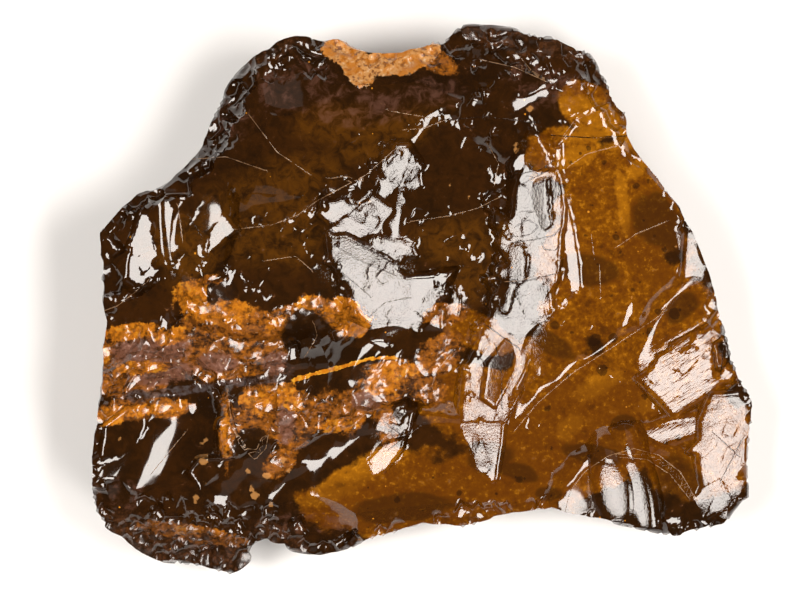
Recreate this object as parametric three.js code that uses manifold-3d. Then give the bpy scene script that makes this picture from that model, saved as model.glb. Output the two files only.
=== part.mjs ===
import * as THREE from 'three';
import { mergeVertices } from 'three/addons/utils/BufferGeometryUtils.js';
import Module from 'manifold-3d';

// A broken lump of rough opal, lying on the flat break under it. The whole of its surface is
// conchoidal fracture: shallow bowls left by flakes, meeting in sharp ridges. Millimetres, +Z up,
// the origin on the resting face, under the middle of the lump.

const BLANK_HEIGHT = 19;
const LID = 40; // how far a cutter reaches past the stone
const RIM_DROP = 9; // a cutter's lip climbs this far above its bowl
const RING_STEP = 1.7; // spacing of a bowl's rings
const SECTOR_STEP = 2.6; // spacing of the points round a bowl's edge
const LIP_RINGS = 4;
const KNOB_SINK = 0.5; // share of a knob's height that lies in the stone

// The edge of the lump seen from above, clockwise from its left shoulder: [x, y].
const EDGE = [
  [-28.3, 5.9], [-26.4, 8.3], [-25, 9.6], [-24.2, 9.9], [-23.4, 9.95], [-22.3, 10.6], [-20.5, 12.3],
  [-19.6, 13.4], [-16.6, 19.5], [-14.2, 21.9], [-13.6, 22.1], [-12.2, 23.1], [-11, 23.3], [-9, 23],
  [-7.4, 23.15], [-6.6, 22.9], [-5.6, 22.2], [-4.6, 21.9], [-3.4, 21.8], [-2, 21.9], [0.9, 22.6],
  [1.8, 22.6], [2.8, 23.6], [3.6, 24.05], [4.4, 24.15], [7, 24], [8, 23.8], [8.9, 23.4], [11.6, 23],
  [14.5, 21.7], [15.2, 20.9], [16.6, 18], [17.2, 17], [17.8, 16.5], [18.1, 15.6], [18.15, 14.5],
  [18.7, 13.4], [22.6, 8.3], [24.6, 4.4], [25.7, 1], [27.3, -5.5], [28.1, -7.4], [28.9, -8.3],
  [29.1, -9.2], [28.6, -12.5], [28.5, -15], [28.55, -17.3], [28, -17.6], [26.8, -19.3], [26.3, -19.75],
  [22, -20.9], [15.5, -19.4], [11.2, -18.6], [8.2, -18.9], [3.6, -20], [0, -19.9], [-4.4, -21],
  [-6, -21.7], [-9, -22.4], [-11.5, -22.1], [-12.2, -21.6], [-13, -21.5], [-13.6, -21.2],
  [-14.8, -21.9], [-14.55, -22.4], [-14.7, -23], [-15.2, -23.5], [-15.9, -23.95], [-16.6, -24.15],
  [-19.6, -23.4], [-23, -23.1], [-23.6, -22.9], [-24.6, -22.4], [-27.9, -20], [-29.1, -16.6],
  [-29, -13], [-28.2, -6.6], [-28.1, -4.2], [-27.7, -1.8], [-28, -0.3], [-28, 2.5], [-28.35, 3.9],
  [-28.2, 4.8],
];

// Flake scars: [middle x, y, z], [falls toward, dip], [bow radius along, across, grain direction],
// [reach centre x, y, half length, half width, direction], lip radius, bend of the grain.
const FACE_SCARS = {
  upper: [[-4, 15.6, 15.9], [100, 10], [60, 50, 0], [-4, 15.6, 12.5, 6.2, 0], 4],
  middle: [[-12, 3.6, 16.6], [265, 8], [70, 60, 10], [-12, 3.6, 6.8, 4, 10], 2],
  crust: [[-17, -5.2, 17], [245, 6], [90, 60, 5], [-17, -5.2, 13, 5.6, 5], 3],
  rightDark: [[3.3, 8.2, 15], [250, 5], [70, 70, 82], [3, 8.4, 8.6, 4.8, 82], 2],
  patch: [[-3.2, 0.3, 14.8], [0, 11.7], [30, 32, 0], [-2.6, 0.9, 5.6, 4.4, 35], 1],
  smallPatch: [[-2.6, 4.5, 14.9], [0, 11.6], [20, 16, -15], [-2.6, 4.5, 1.9, 0.8, -15], 0.8],
  lobe: [[-2, 11.6, 15.6], [0, 11.6], [14, 14, 0], [-2, 11.5, 2, 1.8, 0], 0.8],
  tongue: [[-5, 7.5, 15.7], [0, 11.8], [30, 16, 28], [-5, 7.5, 4, 1.4, 28], 0.8],
  flank: [[-6, 9.7, 16.3], [320, 26], [30, 20, 38], [-6, 9.7, 3.2, 1.1, 38], 1],
  band: [[8.8, 1, 12.55], [0, 10.8], [300, 21, 77], [9.4, 0.6, 13.6, 3.5, 77], 3, 0.0103],
  slot: [[6.7, -6.6, 12.6], [210, 6], [60, 30, 66], [6.7, -6.6, 3.2, 0.9, 66], 0.8],
  amberBowl: [[18.5, 4.4, 12.3], [30, 1.5], [150, 150, 76], [18.8, 5, 11, 6.6, 80], 3],
  amberLow: [[12.5, -5, 12], [300, 2], [90, 90, 55], [12.5, -4.6, 7, 2.6, 52], 2],
  lowRight: [[17.5, -8.2, 11.4], [240, 3], [200, 120, 32], [17.5, -8.2, 13, 4.2, 32], 2],
  slantFacet: [[23.6, -6, 9.9], [0, 9.7], [60, 27, 33], [23.9, -5.6, 5, 2.2, 33], 0.8],
  rimFacet: [[24.3, 3.8, 11.6], [0, 9.7], [40, 26, 90], [24.6, 3.6, 4, 1.9, 100], 1.5],
  belowRim: [[23, -2, 11.1], [300, 5], [90, 60, 50], [23, -2, 4, 2, 50], 1.5],
  tallFacet: [[26.2, -12.5, 9], [0, 9.5], [60, 20, 82], [26.6, -13, 6.4, 2.3, 84], 1.2],
  crescent: [[18.3, -18.2, 9], [300, 3], [16, 16, 0], [18.3, -18.6, 5.8, 5.4, 0], 1.2],
  crescentInner: [[16.8, -16.5, 8.65], [0, 10.2], [30, 11, 100], [16.7, -16.6, 2.3, 1.2, 104], 0.8],
  crescentOuter: [[18.8, -16.8, 8.55], [0, 10], [40, 7, 100], [18.8, -16.9, 2.6, 0.8, 104], 0.8],
  streak: [[21.2, -11.6, 10.4], [0, 10], [30, 5, 15], [21.2, -11.6, 3.3, 0.8, 15], 0.8],
  lowMiddle: [[3, -16, 11], [275, 6], [150, 80, 0], [3, -16, 10.5, 4.6, 0], 3],
  hookPatch: [[-2.9, -12.3, 11.7], [0, 11.6], [60, 14, 76], [-2.9, -12.4, 3.2, 1.6, 72], 0.8],
  lobes: [[-9, -9, 15.2], [275, 8], [60, 40, 0], [-9, -9, 5.5, 2.6, 0], 1.5],
  centreLow: [[0, -6.8, 13.8], [285, 6], [60, 60, 0], [0, -6.8, 4.8, 3.4, 0], 1.5],
  wedge: [[-9, -14, 12.8], [285, 18], [60, 30, 28], [-9, -13.8, 5, 1.9, 26], 1.5],
  lip: [[-8.4, -16.6, 11.8], [230, 8], [60, 60, 30], [-8.4, -16.6, 4.6, 1.7, 30], 1.5],
  notch: [[-15, -11, 14], [280, 10], [8, 6, 90], [-15, -11, 3, 1.6, 90], 1],
  lowLeft: [[-23, -13.2, 13.4], [180, 9.8], [30, 7, 62], [-23.6, -14.4, 5.8, 4.8, 65], 2],
  combedSlope: [[-19.5, -18.3, 11.2], [268, 28], [40, 20, 0], [-19.5, -18.3, 8, 2.2, 0], 2],
  leftBright: [[-24.4, 5, 15.6], [180, 9.6], [40, 11, 92], [-25.4, 4.2, 5.2, 2.4, 92], 1.2],
  leftTop: [[-26, -1.8, 16], [200, 18], [35, 30, 40], [-26, -1.8, 3.2, 1.7, 40], 1],
  shield: [[-17.4, 6.4, 15.3], [180, 10.3], [26, 12, 70], [-19.1, 6.3, 3.7, 2.7, 82], 1],
  flute: [[-21.9, 5.5, 15.5], [180, 9.9], [40, 3.4, 95], [-21.9, 5.5, 3.2, 0.6, 95], 0.8],
  strip: [[-22.9, 5.2, 16], [0, 24], [40, 20, 92], [-22.9, 5.2, 3.6, 0.8, 92], 0.8],
  upperLeftEdge: [[-22, 10.4, 15.4], [120, 34], [60, 20, 30], [-23, 11, 8, 4, 35], 4],
  greyFacet: [[-17.6, 15, 14.8], [148, 24], [40, 30, 0], [-17.6, 15, 5, 4, 0], 3],
  blackSide: [[-16.5, 18, 12.6], [152, 58], [40, 20, 0], [-16.5, 18, 6, 4, 62], 3],
  swirl: [[-11.5, 19.8, 14.4], [100, 14], [12, 12, 0], [-11.5, 19.8, 4, 3, 0], 2],
  topCrust: [[-4, 21, 13.6], [95, 36], [30, 20, 0], [-3.5, 21.2, 5.6, 2.3, 0], 2],
  topLump: [[7, 21.6, 13], [88, 30], [40, 20, 0], [7, 21.6, 6.4, 3, 0], 2],
  topLumpRight: [[13, 19.6, 12.6], [62, 22], [30, 20, 0], [13, 19.6, 4, 3.2, 0], 2],
  amberTop: [[14.2, 15.6, 12.8], [80, 9], [150, 80, 0], [14.2, 15.6, 5, 2.6, 0], 2],
  rightEdge: [[20.8, 10.8, 10.4], [40, 50], [60, 30, 0], [20.6, 11, 9, 4, 125], 4],
  lowLeftEdge: [[-21, -21.8, 9.4], [262, 44], [60, 30, 0], [-22, -22.4, 9, 4, 168], 4],
  lowEdge: [[-12.5, -20, 9.6], [285, 38], [40, 20, 0], [-12.5, -20, 3.6, 3, 0], 2],
  bottomEdge: [[-5.5, -21.2, 8.8], [283, 40], [60, 40, 0], [-3, -21, 11, 3.4, 8], 4],
};

// The same for the underside, where a scar rises toward its direction.
const UNDER_SCARS = {
  left: [[-21.5, 4.0, 5.8], [170, 42], [60, 34, 170], [-21.5, 4.0, 10, 8.5, 170], 5],
  leftLow: [[-20.5, -9.5, 4.8], [197, 33], [45, 16, 17], [-20.5, -9.5, 11, 6.5, 17], 4],
  lowLeft: [[-17.5, -18.5, 2.6], [238, 31], [40, 24, 58], [-17.5, -18.5, 8.5, 6.5, 58], 4],
  lowMiddle: [[-5.0, -16.0, 2.8], [264, 37], [60, 18, 84], [-5.0, -16.0, 8, 8.5, 84], 5],
  low: [[5.5, -17.0, 3.8], [282, 42], [40, 20, 102], [5.5, -17.0, 7, 5, 102], 3],
  lowRight: [[13.0, -13.5, 2.8], [296, 29], [60, 26, 116], [13.0, -13.5, 9, 6, 116], 4],
  rightLow: [[21.5, -13.0, 4.6], [326, 23], [50, 22, 146], [21.5, -13.0, 10, 6.5, 146], 5],
  right: [[16.5, -1.0, 3.4], [6, 24], [90, 40, 6], [16.5, -1.0, 13, 8.5, 6], 6],
  rightHigh: [[19.0, 9.5, 6.4], [30, 43], [40, 18, 30], [19.0, 9.5, 7, 5.5, 30], 3],
  highRight: [[12.0, 14.5, 4.2], [58, 38], [60, 20, 58], [12.0, 14.5, 9.5, 6.5, 58], 4],
  high: [[2.0, 16.5, 5.0], [86, 39], [60, 30, 86], [2.0, 16.5, 8, 7, 86], 4],
  highMiddle: [[-7.5, 14.5, 3.6], [104, 33], [50, 18, 104], [-7.5, 14.5, 10, 5.5, 104], 4],
  highLeft: [[-15.0, 14.5, 6.2], [138, 47], [60, 26, 138], [-15.0, 14.5, 8, 7.5, 138], 5],
  leftNick: [[-25.0, 0.5, 9.4], [186, 50], [14, 9, 6], [-25.5, 0.5, 5, 3, 6], 2],
  cornerNick: [[25.0, -17.0, 5.6], [300, 34], [18, 10, 120], [25.0, -17.5, 5, 3.5, 120], 2],
  highNick: [[7.0, 21.0, 7.4], [74, 42], [16, 9, 74], [7.0, 21.5, 4.5, 3, 74], 2],
};

// Pits in the weathered crust: [x, y, half length, half width, direction, depth].
const CRUST_PITS = [
  [-24.6, -5.2, 1.6, 0.7, 10, 0.5],
  [-21.2, -4.0, 1.3, 0.6, 160, 0.45],
  [-18.4, -7.4, 2.0, 0.6, 8, 0.5],
  [-13.4, -3.4, 1.6, 0.9, 60, 0.55],
  [-8.6, -4.2, 2.4, 0.9, 15, 0.6],
  [-12.2, -8.6, 1.2, 0.6, 80, 0.4],
  [-20.5, -20.2, 1.1, 0.7, 20, 0.7],
  [-18.0, -21.4, 1.2, 0.8, 130, 0.8],
  [-11.8, -19.0, 1.3, 0.8, 30, 0.6],
  [-6.0, 20.2, 1.5, 0.7, 10, 0.5],
  [-1.4, 20.8, 1.2, 0.6, 150, 0.45],
  [6.4, 20.4, 1.6, 0.8, 35, 0.6],
];

// Knobs of crust half sunk in it: [x, y, half length, half width, height, direction].
const CRUST_KNOBS = [
  [-15.3, -22.6, 1.1, 0.8, 1.0, 50],
  [-22.6, -2.6, 2.4, 1.0, 0.9, 20],
  [-15.9, -1.6, 1.9, 1.0, 0.9, 70],
  [-7.0, -1.0, 2.2, 1.1, 0.9, 30],
  [-11.0, -6.4, 3.2, 0.8, 0.7, 10],
  [-17.3, -10.8, 2.9, 0.7, 0.8, 80],
  [-24.0, -21.0, 2.0, 0.9, 0.9, 150],
  [-8.8, 21.4, 2.0, 1.0, 0.9, 170],
  [1.6, 21.4, 1.8, 1.0, 0.9, 30],
  [9.4, 22.0, 2.3, 1.0, 0.9, 160],
];

const OPAL = new THREE.MeshStandardMaterial({ color: 0x54330c, roughness: 0.12, metalness: 0 });

const wasm = await Module();
wasm.setup();

// Offset of a point from a centre, in axes turned to a direction, its path bent like the grain.
function alongAndAcross(x, y, centreX, centreY, direction, bend) {
  const turn = THREE.MathUtils.degToRad(direction);
  const along = (x - centreX) * Math.cos(turn) + (y - centreY) * Math.sin(turn);
  const across = (y - centreY) * Math.cos(turn) - (x - centreX) * Math.sin(turn);
  return [along, across - bend * along * along];
}

// Height of a scar's surface. side is 1 for the upper face and -1 for the underside.
function scarLevel(scar, x, y, side) {
  const [middle, slope, bow, reach, lip, bend = 0] = scar;
  const fall = THREE.MathUtils.degToRad(slope[0]);
  const downhill = (x - middle[0]) * Math.cos(fall) + (y - middle[1]) * Math.sin(fall);
  const [along, across] = alongAndAcross(x, y, middle[0], middle[1], bow[2], bend);
  const [u, v] = alongAndAcross(x, y, reach[0], reach[1], reach[4], bend);
  const beyond = Math.max(0, Math.hypot(u / reach[2], v / reach[3]) - 1) * Math.min(reach[2], reach[3]);
  const rise = along ** 2 / (2 * bow[0]) + across ** 2 / (2 * bow[1]) + beyond ** 2 / (2 * lip);
  return middle[2] + side * (rise - Math.tan(THREE.MathUtils.degToRad(slope[1])) * downhill);
}

function faceLevel(x, y) {
  const levels = Object.values(FACE_SCARS).map((scar) => scarLevel(scar, x, y, 1));
  return Math.min(BLANK_HEIGHT, ...levels);
}

// Closed geometry with its shared points merged and its zero faces dropped, as a solid.
function solidFrom(geometry) {
  geometry.deleteAttribute('normal');
  geometry.deleteAttribute('uv');
  const merged = mergeVertices(geometry, 1e-4);
  const corners = [];
  for (let i = 0; i < merged.index.count; i += 3) {
    const [a, b, c] = [0, 1, 2].map((k) => merged.index.getX(i + k));
    if (a !== b && b !== c && c !== a) corners.push(a, b, c);
  }
  const mesh = new wasm.Mesh({
    numProp: 3,
    vertProperties: new Float32Array(merged.attributes.position.array),
    triVerts: new Uint32Array(corners),
  });
  return new wasm.Manifold(mesh);
}

// The stone that a flake took away: a lathed bowl, stretched over the scar's reach and set on its
// surface, closed by a flat lid past the stone.
function flakeCutter(scar, side) {
  const [, , , reach, lip, bend = 0] = scar;
  const narrow = Math.min(reach[2], reach[3]);
  const rings = Math.max(1, Math.round(narrow / RING_STEP));
  const lipWidth = Math.sqrt(2 * lip * RIM_DROP);
  const profile = [new THREE.Vector2(0, 0)];
  for (let i = 1; i <= rings; i += 1) profile.push(new THREE.Vector2(i / rings, 0));
  for (let i = 1; i <= LIP_RINGS; i += 1) {
    profile.push(new THREE.Vector2(1 + ((i / LIP_RINGS) * lipWidth) / narrow, 0));
  }
  profile.push(new THREE.Vector2(1 + lipWidth / narrow, 1), new THREE.Vector2(0, 1));
  const round = Math.PI * (reach[2] + reach[3]);
  const sectors = Math.min(26, Math.max(10, Math.round(round / SECTOR_STEP)));
  const geometry = new THREE.LatheGeometry(profile, sectors);
  const turn = THREE.MathUtils.degToRad(reach[4]);
  const points = geometry.attributes.position;
  for (let i = 0; i < points.count; i += 1) {
    const u = points.getX(i) * reach[2];
    const v = -side * points.getZ(i) * reach[3] + bend * u * u;
    const x = reach[0] + u * Math.cos(turn) - v * Math.sin(turn);
    const y = reach[1] + u * Math.sin(turn) + v * Math.cos(turn);
    const z = points.getY(i) > 0.5 ? side * LID : scarLevel(scar, x, y, side);
    points.setXYZ(i, x, y, z);
  }
  return solidFrom(geometry);
}

function pitCutter([x, y, long, wide, direction, depth]) {
  const scar = [[x, y, faceLevel(x, y) - depth], [0, 0], [2 * long, 2 * wide, direction],
    [x, y, long, wide, direction], 0.25];
  return flakeCutter(scar, 1);
}

function knob([x, y, long, wide, high, direction]) {
  const geometry = new THREE.IcosahedronGeometry(1, 1);
  geometry.scale(long, wide, high);
  geometry.rotateZ(THREE.MathUtils.degToRad(direction));
  geometry.translate(x, y, faceLevel(x, y) - KNOB_SINK * high);
  return solidFrom(geometry);
}

function blank() {
  const shape = new THREE.Shape(EDGE.map(([x, y]) => new THREE.Vector2(x, y)));
  const geometry = new THREE.ExtrudeGeometry(shape, { depth: BLANK_HEIGHT, bevelEnabled: false });
  return solidFrom(geometry);
}

function brokenStone() {
  let stone = blank();
  for (const scar of Object.values(FACE_SCARS)) stone = stone.subtract(flakeCutter(scar, 1));
  for (const pit of CRUST_PITS) stone = stone.subtract(pitCutter(pit));
  for (const lump of CRUST_KNOBS) stone = stone.add(knob(lump));
  for (const scar of Object.values(UNDER_SCARS)) stone = stone.subtract(flakeCutter(scar, -1));
  return stone;
}

function geometryOf(solid) {
  const mesh = solid.getMesh();
  const geometry = new THREE.BufferGeometry();
  geometry.setAttribute('position', new THREE.BufferAttribute(mesh.vertProperties, 3));
  geometry.setIndex(new THREE.BufferAttribute(mesh.triVerts, 1));
  return geometry;
}

const opal = new THREE.Mesh(geometryOf(brokenStone()), OPAL);
opal.name = 'opal';

const part = new THREE.Group();
part.add(opal);

export default part;
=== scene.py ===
import math

import bpy
import numpy as np
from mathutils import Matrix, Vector


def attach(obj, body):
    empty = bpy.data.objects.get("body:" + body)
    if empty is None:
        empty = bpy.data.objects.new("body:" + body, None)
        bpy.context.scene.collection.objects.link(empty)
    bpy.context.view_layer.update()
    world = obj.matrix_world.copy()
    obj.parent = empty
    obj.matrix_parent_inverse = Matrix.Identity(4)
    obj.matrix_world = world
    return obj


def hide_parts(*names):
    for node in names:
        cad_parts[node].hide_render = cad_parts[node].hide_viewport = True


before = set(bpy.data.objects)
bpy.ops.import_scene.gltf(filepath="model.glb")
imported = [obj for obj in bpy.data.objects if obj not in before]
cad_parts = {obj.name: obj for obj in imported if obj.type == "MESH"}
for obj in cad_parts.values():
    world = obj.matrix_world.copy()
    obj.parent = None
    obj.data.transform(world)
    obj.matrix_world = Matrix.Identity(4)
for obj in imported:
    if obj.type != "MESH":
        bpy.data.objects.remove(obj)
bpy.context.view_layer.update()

# A broken lump of rough opal, lying on the flat break under it. Its tables are in millimetres, in
# the frame's axes; the mesh is made at full size in metres.
MM = 0.001
CELL = 0.24           # spacing of the surface's points
BLANK_HEIGHT = 19.0
TOP_LIMIT = 18.7      # no point of the surface lies above this

# The edge of the lump seen from above, clockwise from its left shoulder.
EDGE = [
    (-28.3, 5.9), (-27, 7.5), (-26.4, 8.3), (-25.6, 8.9), (-25, 9.6), (-24.2, 9.9), (-23.4, 9.95),
    (-22.3, 10.6), (-21.2, 11.6), (-20.5, 12.3), (-19.6, 13.4), (-19, 14.7), (-18.4, 16), (-17.8, 17),
    (-17.3, 18.3), (-16.6, 19.5), (-15.7, 20.5), (-15, 21.2), (-14.2, 21.9), (-13.6, 22.1), (-12.9, 22.7),
    (-12.2, 23.1), (-11, 23.3), (-10, 23.2), (-9, 23), (-8.2, 23), (-7.4, 23.15), (-6.6, 22.9),
    (-6.2, 22.5), (-5.6, 22.2), (-4.6, 21.9), (-3.4, 21.8), (-2, 21.9), (-1.2, 22.2), (-0.1, 22.3),
    (0.9, 22.6), (1.8, 22.6), (2.1, 23), (2.8, 23.6), (3.6, 24.05), (4.4, 24.15), (5.5, 24), (7, 24),
    (8, 23.8), (8.9, 23.4), (10, 23.2), (11.6, 23), (12.6, 22.5), (13.6, 22), (14.5, 21.7), (15.2, 20.9),
    (15.6, 19.9), (16.1, 19.2), (16.6, 18), (17.2, 17), (17.8, 16.5), (18.1, 15.6), (18.15, 14.5),
    (18.7, 13.4), (19.5, 12.3), (20.4, 11.2), (21.6, 9.6), (22.6, 8.3), (23.3, 6.8), (23.9, 5.9),
    (24.6, 4.4), (25.2, 2.6), (25.7, 1), (26.1, -0.8), (26.6, -3), (27.3, -5.5), (28.1, -7.4),
    (28.9, -8.3), (29.1, -9.2), (28.9, -11), (28.6, -12.5), (28.5, -15), (28.6, -16.6), (28.55, -17.3),
    (28, -17.6), (27.4, -18.4), (26.8, -19.3), (26.3, -19.75), (25.6, -19.9), (24.6, -20.1),
    (23.2, -20.5), (22.6, -20.8), (22, -20.9), (21.4, -20.7), (20.4, -20.5), (18.8, -20.2), (17.2, -19.8),
    (15.5, -19.4), (14.2, -19.2), (12.8, -18.9), (11.2, -18.6), (9.6, -18.7), (8.2, -18.9), (6.6, -19.2),
    (5, -19.7), (3.6, -20), (2, -19.9), (0, -19.9), (-2.4, -20.5), (-4.4, -21), (-6, -21.7),
    (-7.5, -22.1), (-9, -22.4), (-10.4, -22.3), (-11.5, -22.1), (-12.2, -21.6), (-13, -21.5),
    (-13.6, -21.2), (-14.3, -21.5), (-14.8, -21.9), (-14.55, -22.4), (-14.7, -23), (-15.2, -23.5),
    (-15.9, -23.95), (-16.6, -24.15), (-17.5, -24), (-18.6, -23.7), (-19.6, -23.4), (-21.2, -23.15),
    (-23, -23.1), (-23.6, -22.9), (-24.6, -22.4), (-25.6, -21.7), (-26.4, -21), (-27.3, -20.5),
    (-27.9, -20), (-28.1, -19.2), (-28.6, -18.3), (-28.8, -17.2), (-29.1, -16.6), (-29.05, -15),
    (-29, -13), (-28.8, -11.5), (-28.6, -10), (-28.4, -8.2), (-28.2, -6.6), (-28.1, -5.2), (-28.1, -4.2),
    (-27.8, -3), (-27.7, -1.8), (-27.9, -0.9), (-28, -0.3), (-27.9, 0.8), (-28, 2.5), (-28.1, 3.3),
    (-28.35, 3.9), (-28.2, 4.8),
]

# Flake scars: (middle x, y, z), (falls toward, dip), (bow radius along, across, grain direction),
# (reach centre x, y, half length, half width, direction), lip radius, bend of the grain. A reach
# without a centre lies round the scar's middle.
FACE_SCARS = {
    "upper": ((-4, 15.6, 15.9), (100, 10), (60, 50, 0), (12.5, 6.2, 0), 4),
    "middle": ((-12, 3.6, 16.6), (265, 8), (70, 60, 10), (6.8, 4, 10), 2),
    "crust": ((-17, -5.2, 17), (245, 6), (90, 60, 5), (13, 5.6, 5), 3),
    "right_dark": ((3.3, 8.2, 15), (250, 5), (70, 70, 82), (3, 8.4, 8.6, 4.8, 82), 2),
    "patch": ((-3.2, 0.3, 14.8), (0, 11.7), (30, 32, 0), (-2.6, 0.9, 5.6, 4.4, 35), 1),
    "patch_low": ((-3.2, 0.3, 14.8), (0, 11.7), (30, 32, 0), (-2.2, -0.4, 4.6, 2.6, 20), 1),
    "small_patch": ((-2.6, 4.5, 14.9), (0, 11.6), (20, 16, -15), (1.9, 0.8, -15), 0.8),
    "lobe": ((-2, 11.6, 15.3), (0, 11.6), (14, 14, 0), (-2, 11.5, 2, 1.8, 0), 0.8),
    "tongue": ((-5, 7.5, 15.7), (0, 11.8), (30, 16, 28), (4, 1.4, 28), 0.8),
    "flank": ((-6, 9.7, 16.3), (320, 26), (30, 20, 38), (3.2, 1.1, 38), 1),
    "band": ((8.8, 1, 12.55), (0, 10.8), (300, 21, 77), (9.9, 9.2, 5.6, 2.2, 80), 1, 0.0103),
    "band_mid": ((8.8, 1, 12.55), (0, 10.8), (300, 21, 77), (8.7, 1.2, 4.9, 2.4, 75), 1, 0.0103),
    "band_low": ((5.9, -3, 13.1), (308, 17.6), (300, 80, 77), (6.4, -6.6, 5.4, 2.2, 75), 1),
    "band_end": ((5, -12, 11.26), (345, 11.5), (300, 80, 77), (5.2, -13, 3.2, 1.5, 100), 1),
    "blade_high": ((12.4, 8, 12.37), (6, 10.8), (60, 60, 77), (10.7, 13.7, 2.8, 1, 110), 1),
    "blade": ((12.4, 8, 12.37), (6, 10.8), (60, 60, 77), (12.2, 8.8, 3.6, 1, 100), 1),
    "blade_low": ((12.4, 8, 12.37), (6, 10.8), (60, 60, 77), (13.1, 2.9, 3.7, 1, 96), 1),
    "slot": ((6.7, -6.6, 11.85), (283, 14.4), (60, 60, 66), (3.2, 0.9, 66), 1),
    "amber_bowl": ((18.5, 4.4, 12.3), (30, 1), (260, 260, 76), (18, 5, 11, 7.6, 80), 1.4),
    "amber_low": ((12.5, -5, 12), (300, 2), (90, 90, 55), (12.5, -4.6, 7, 2.6, 52), 1.2),
    "low_right": ((17.5, -8.2, 11.4), (240, 3), (200, 120, 32), (13, 4.2, 32), 1.2),
    "slant_facet": ((23.6, -6, 9.9), (0, 9.7), (60, 27, 33), (23.9, -5.6, 5, 2.2, 33), 0.8),
    "rim_facet": ((24.3, 3.8, 11.35), (0, 9.7), (40, 26, 90), (24.6, 3.6, 4, 1.9, 100), 1.5),
    "below_rim": ((23, -2, 11.1), (300, 2.5), (120, 90, 50), (4, 2, 50), 1.5),
    "tall_facet": ((26.2, -12.5, 9), (0, 9.5), (60, 20, 82), (26.6, -13, 6.4, 2.3, 84), 1.2),
    "crescent": ((18.3, -18.4, 9.45), (300, 2), (60, 50, 0), (18.3, -18.9, 6, 5.6, 0), 1.7),
    "crescent_inner": ((16.8, -16.5, 8.65), (0, 10.2), (30, 11, 100), (16.7, -16.6, 2.3, 1.2, 104), 0.8),
    "crescent_outer": ((18.8, -16.8, 8.55), (0, 10), (40, 7, 100), (18.8, -16.9, 2.6, 0.8, 104), 0.8),
    "streak": ((21.2, -11.6, 10.4), (0, 10), (30, 5, 15), (3.3, 0.8, 15), 0.8),
    "low_middle": ((3, -16, 11), (275, 6), (150, 80, 0), (10.5, 4.6, 0), 1.4),
    "hook_patch": ((-2.9, -12.3, 11.7), (0, 11.6), (60, 14, 76), (-2.9, -12.4, 3.2, 1.6, 72), 0.8),
    "lobes": ((-9, -9, 15.2), (275, 8), (60, 40, 0), (5.5, 2.6, 0), 1.5),
    "centre_low": ((0, -6.8, 13.8), (285, 6), (60, 60, 0), (4.8, 3.4, 0), 1.5),
    "wedge": ((-9, -14, 12.8), (262, 18), (90, 60, 28), (-9, -13.8, 5, 1.9, 26), 1.5),
    "lip": ((-8.4, -16.6, 11.8), (230, 8), (60, 60, 30), (4.6, 1.7, 30), 1.5),
    "notch": ((-15, -11, 14), (270, 17), (14, 12, 90), (3, 1.6, 90), 1),
    "low_left": ((-23, -13.2, 13.4), (180, 9.8), (30, 7, 62), (-23.6, -14.4, 5.8, 4.8, 65), 2),
    "combed_slope": ((-19.5, -18.3, 11.5), (268, 38), (40, 20, 0), (8, 2.2, 0), 2),
    "left_bright": ((-24.4, 5, 15.6), (180, 9.6), (40, 11, 92), (-25.4, 4.2, 5.2, 2.4, 92), 1.2),
    "left_top": ((-26, -1.8, 16), (200, 18), (35, 30, 40), (3.2, 1.7, 40), 1),
    "shield": ((-19.4, 5.9, 15.35), (180, 2.5), (26, 20, 70), (-19.5, 6, 3.6, 1.9, 82), 1),
    "flute": ((-21.9, 5.5, 15.5), (180, 9.9), (40, 3.4, 95), (3.2, 0.6, 95), 0.8),
    "strip": ((-22.9, 5.2, 16), (0, 24), (40, 20, 92), (3.6, 0.8, 92), 0.8),
    "upper_left_edge": ((-22, 10.4, 15.4), (120, 34), (60, 20, 30), (-23, 11, 8, 4, 35), 4),
    "grey_facet": ((-17.6, 15, 14.8), (148, 24), (40, 30, 0), (5, 4, 0), 3),
    "black_side": ((-16.5, 18, 12.6), (152, 58), (40, 20, 0), (6, 4, 62), 3),
    "swirl": ((-11.5, 19.8, 14.4), (100, 14), (12, 12, 0), (4, 3, 0), 2),
    "top_crust": ((-4, 21, 13.6), (95, 36), (30, 20, 0), (-3.5, 21.2, 5.6, 2.3, 0), 2),
    "top_lump": ((7, 21.6, 13), (88, 30), (40, 20, 0), (6.4, 3, 0), 2),
    "top_lump_right": ((13, 19.6, 12.6), (62, 22), (30, 20, 0), (4, 3.2, 0), 2),
    "amber_top": ((14.2, 15.6, 12.8), (80, 9), (150, 80, 0), (5, 2.6, 0), 2),
    "right_edge": ((21.4, 11.3, 10.4), (40, 50), (60, 30, 0), (20.6, 11, 9, 4, 125), 4),
    "low_left_edge": ((-21, -21.8, 9.4), (262, 44), (60, 30, 0), (-22, -22.4, 9, 4, 168), 4),
    "low_edge": ((-12.5, -20, 9.6), (285, 38), (40, 20, 0), (3.6, 3, 0), 2),
    "bottom_edge": ((-5.5, -21.2, 8.8), (283, 40), (60, 40, 0), (-3, -21, 11, 3.4, 8), 4),
}

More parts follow.
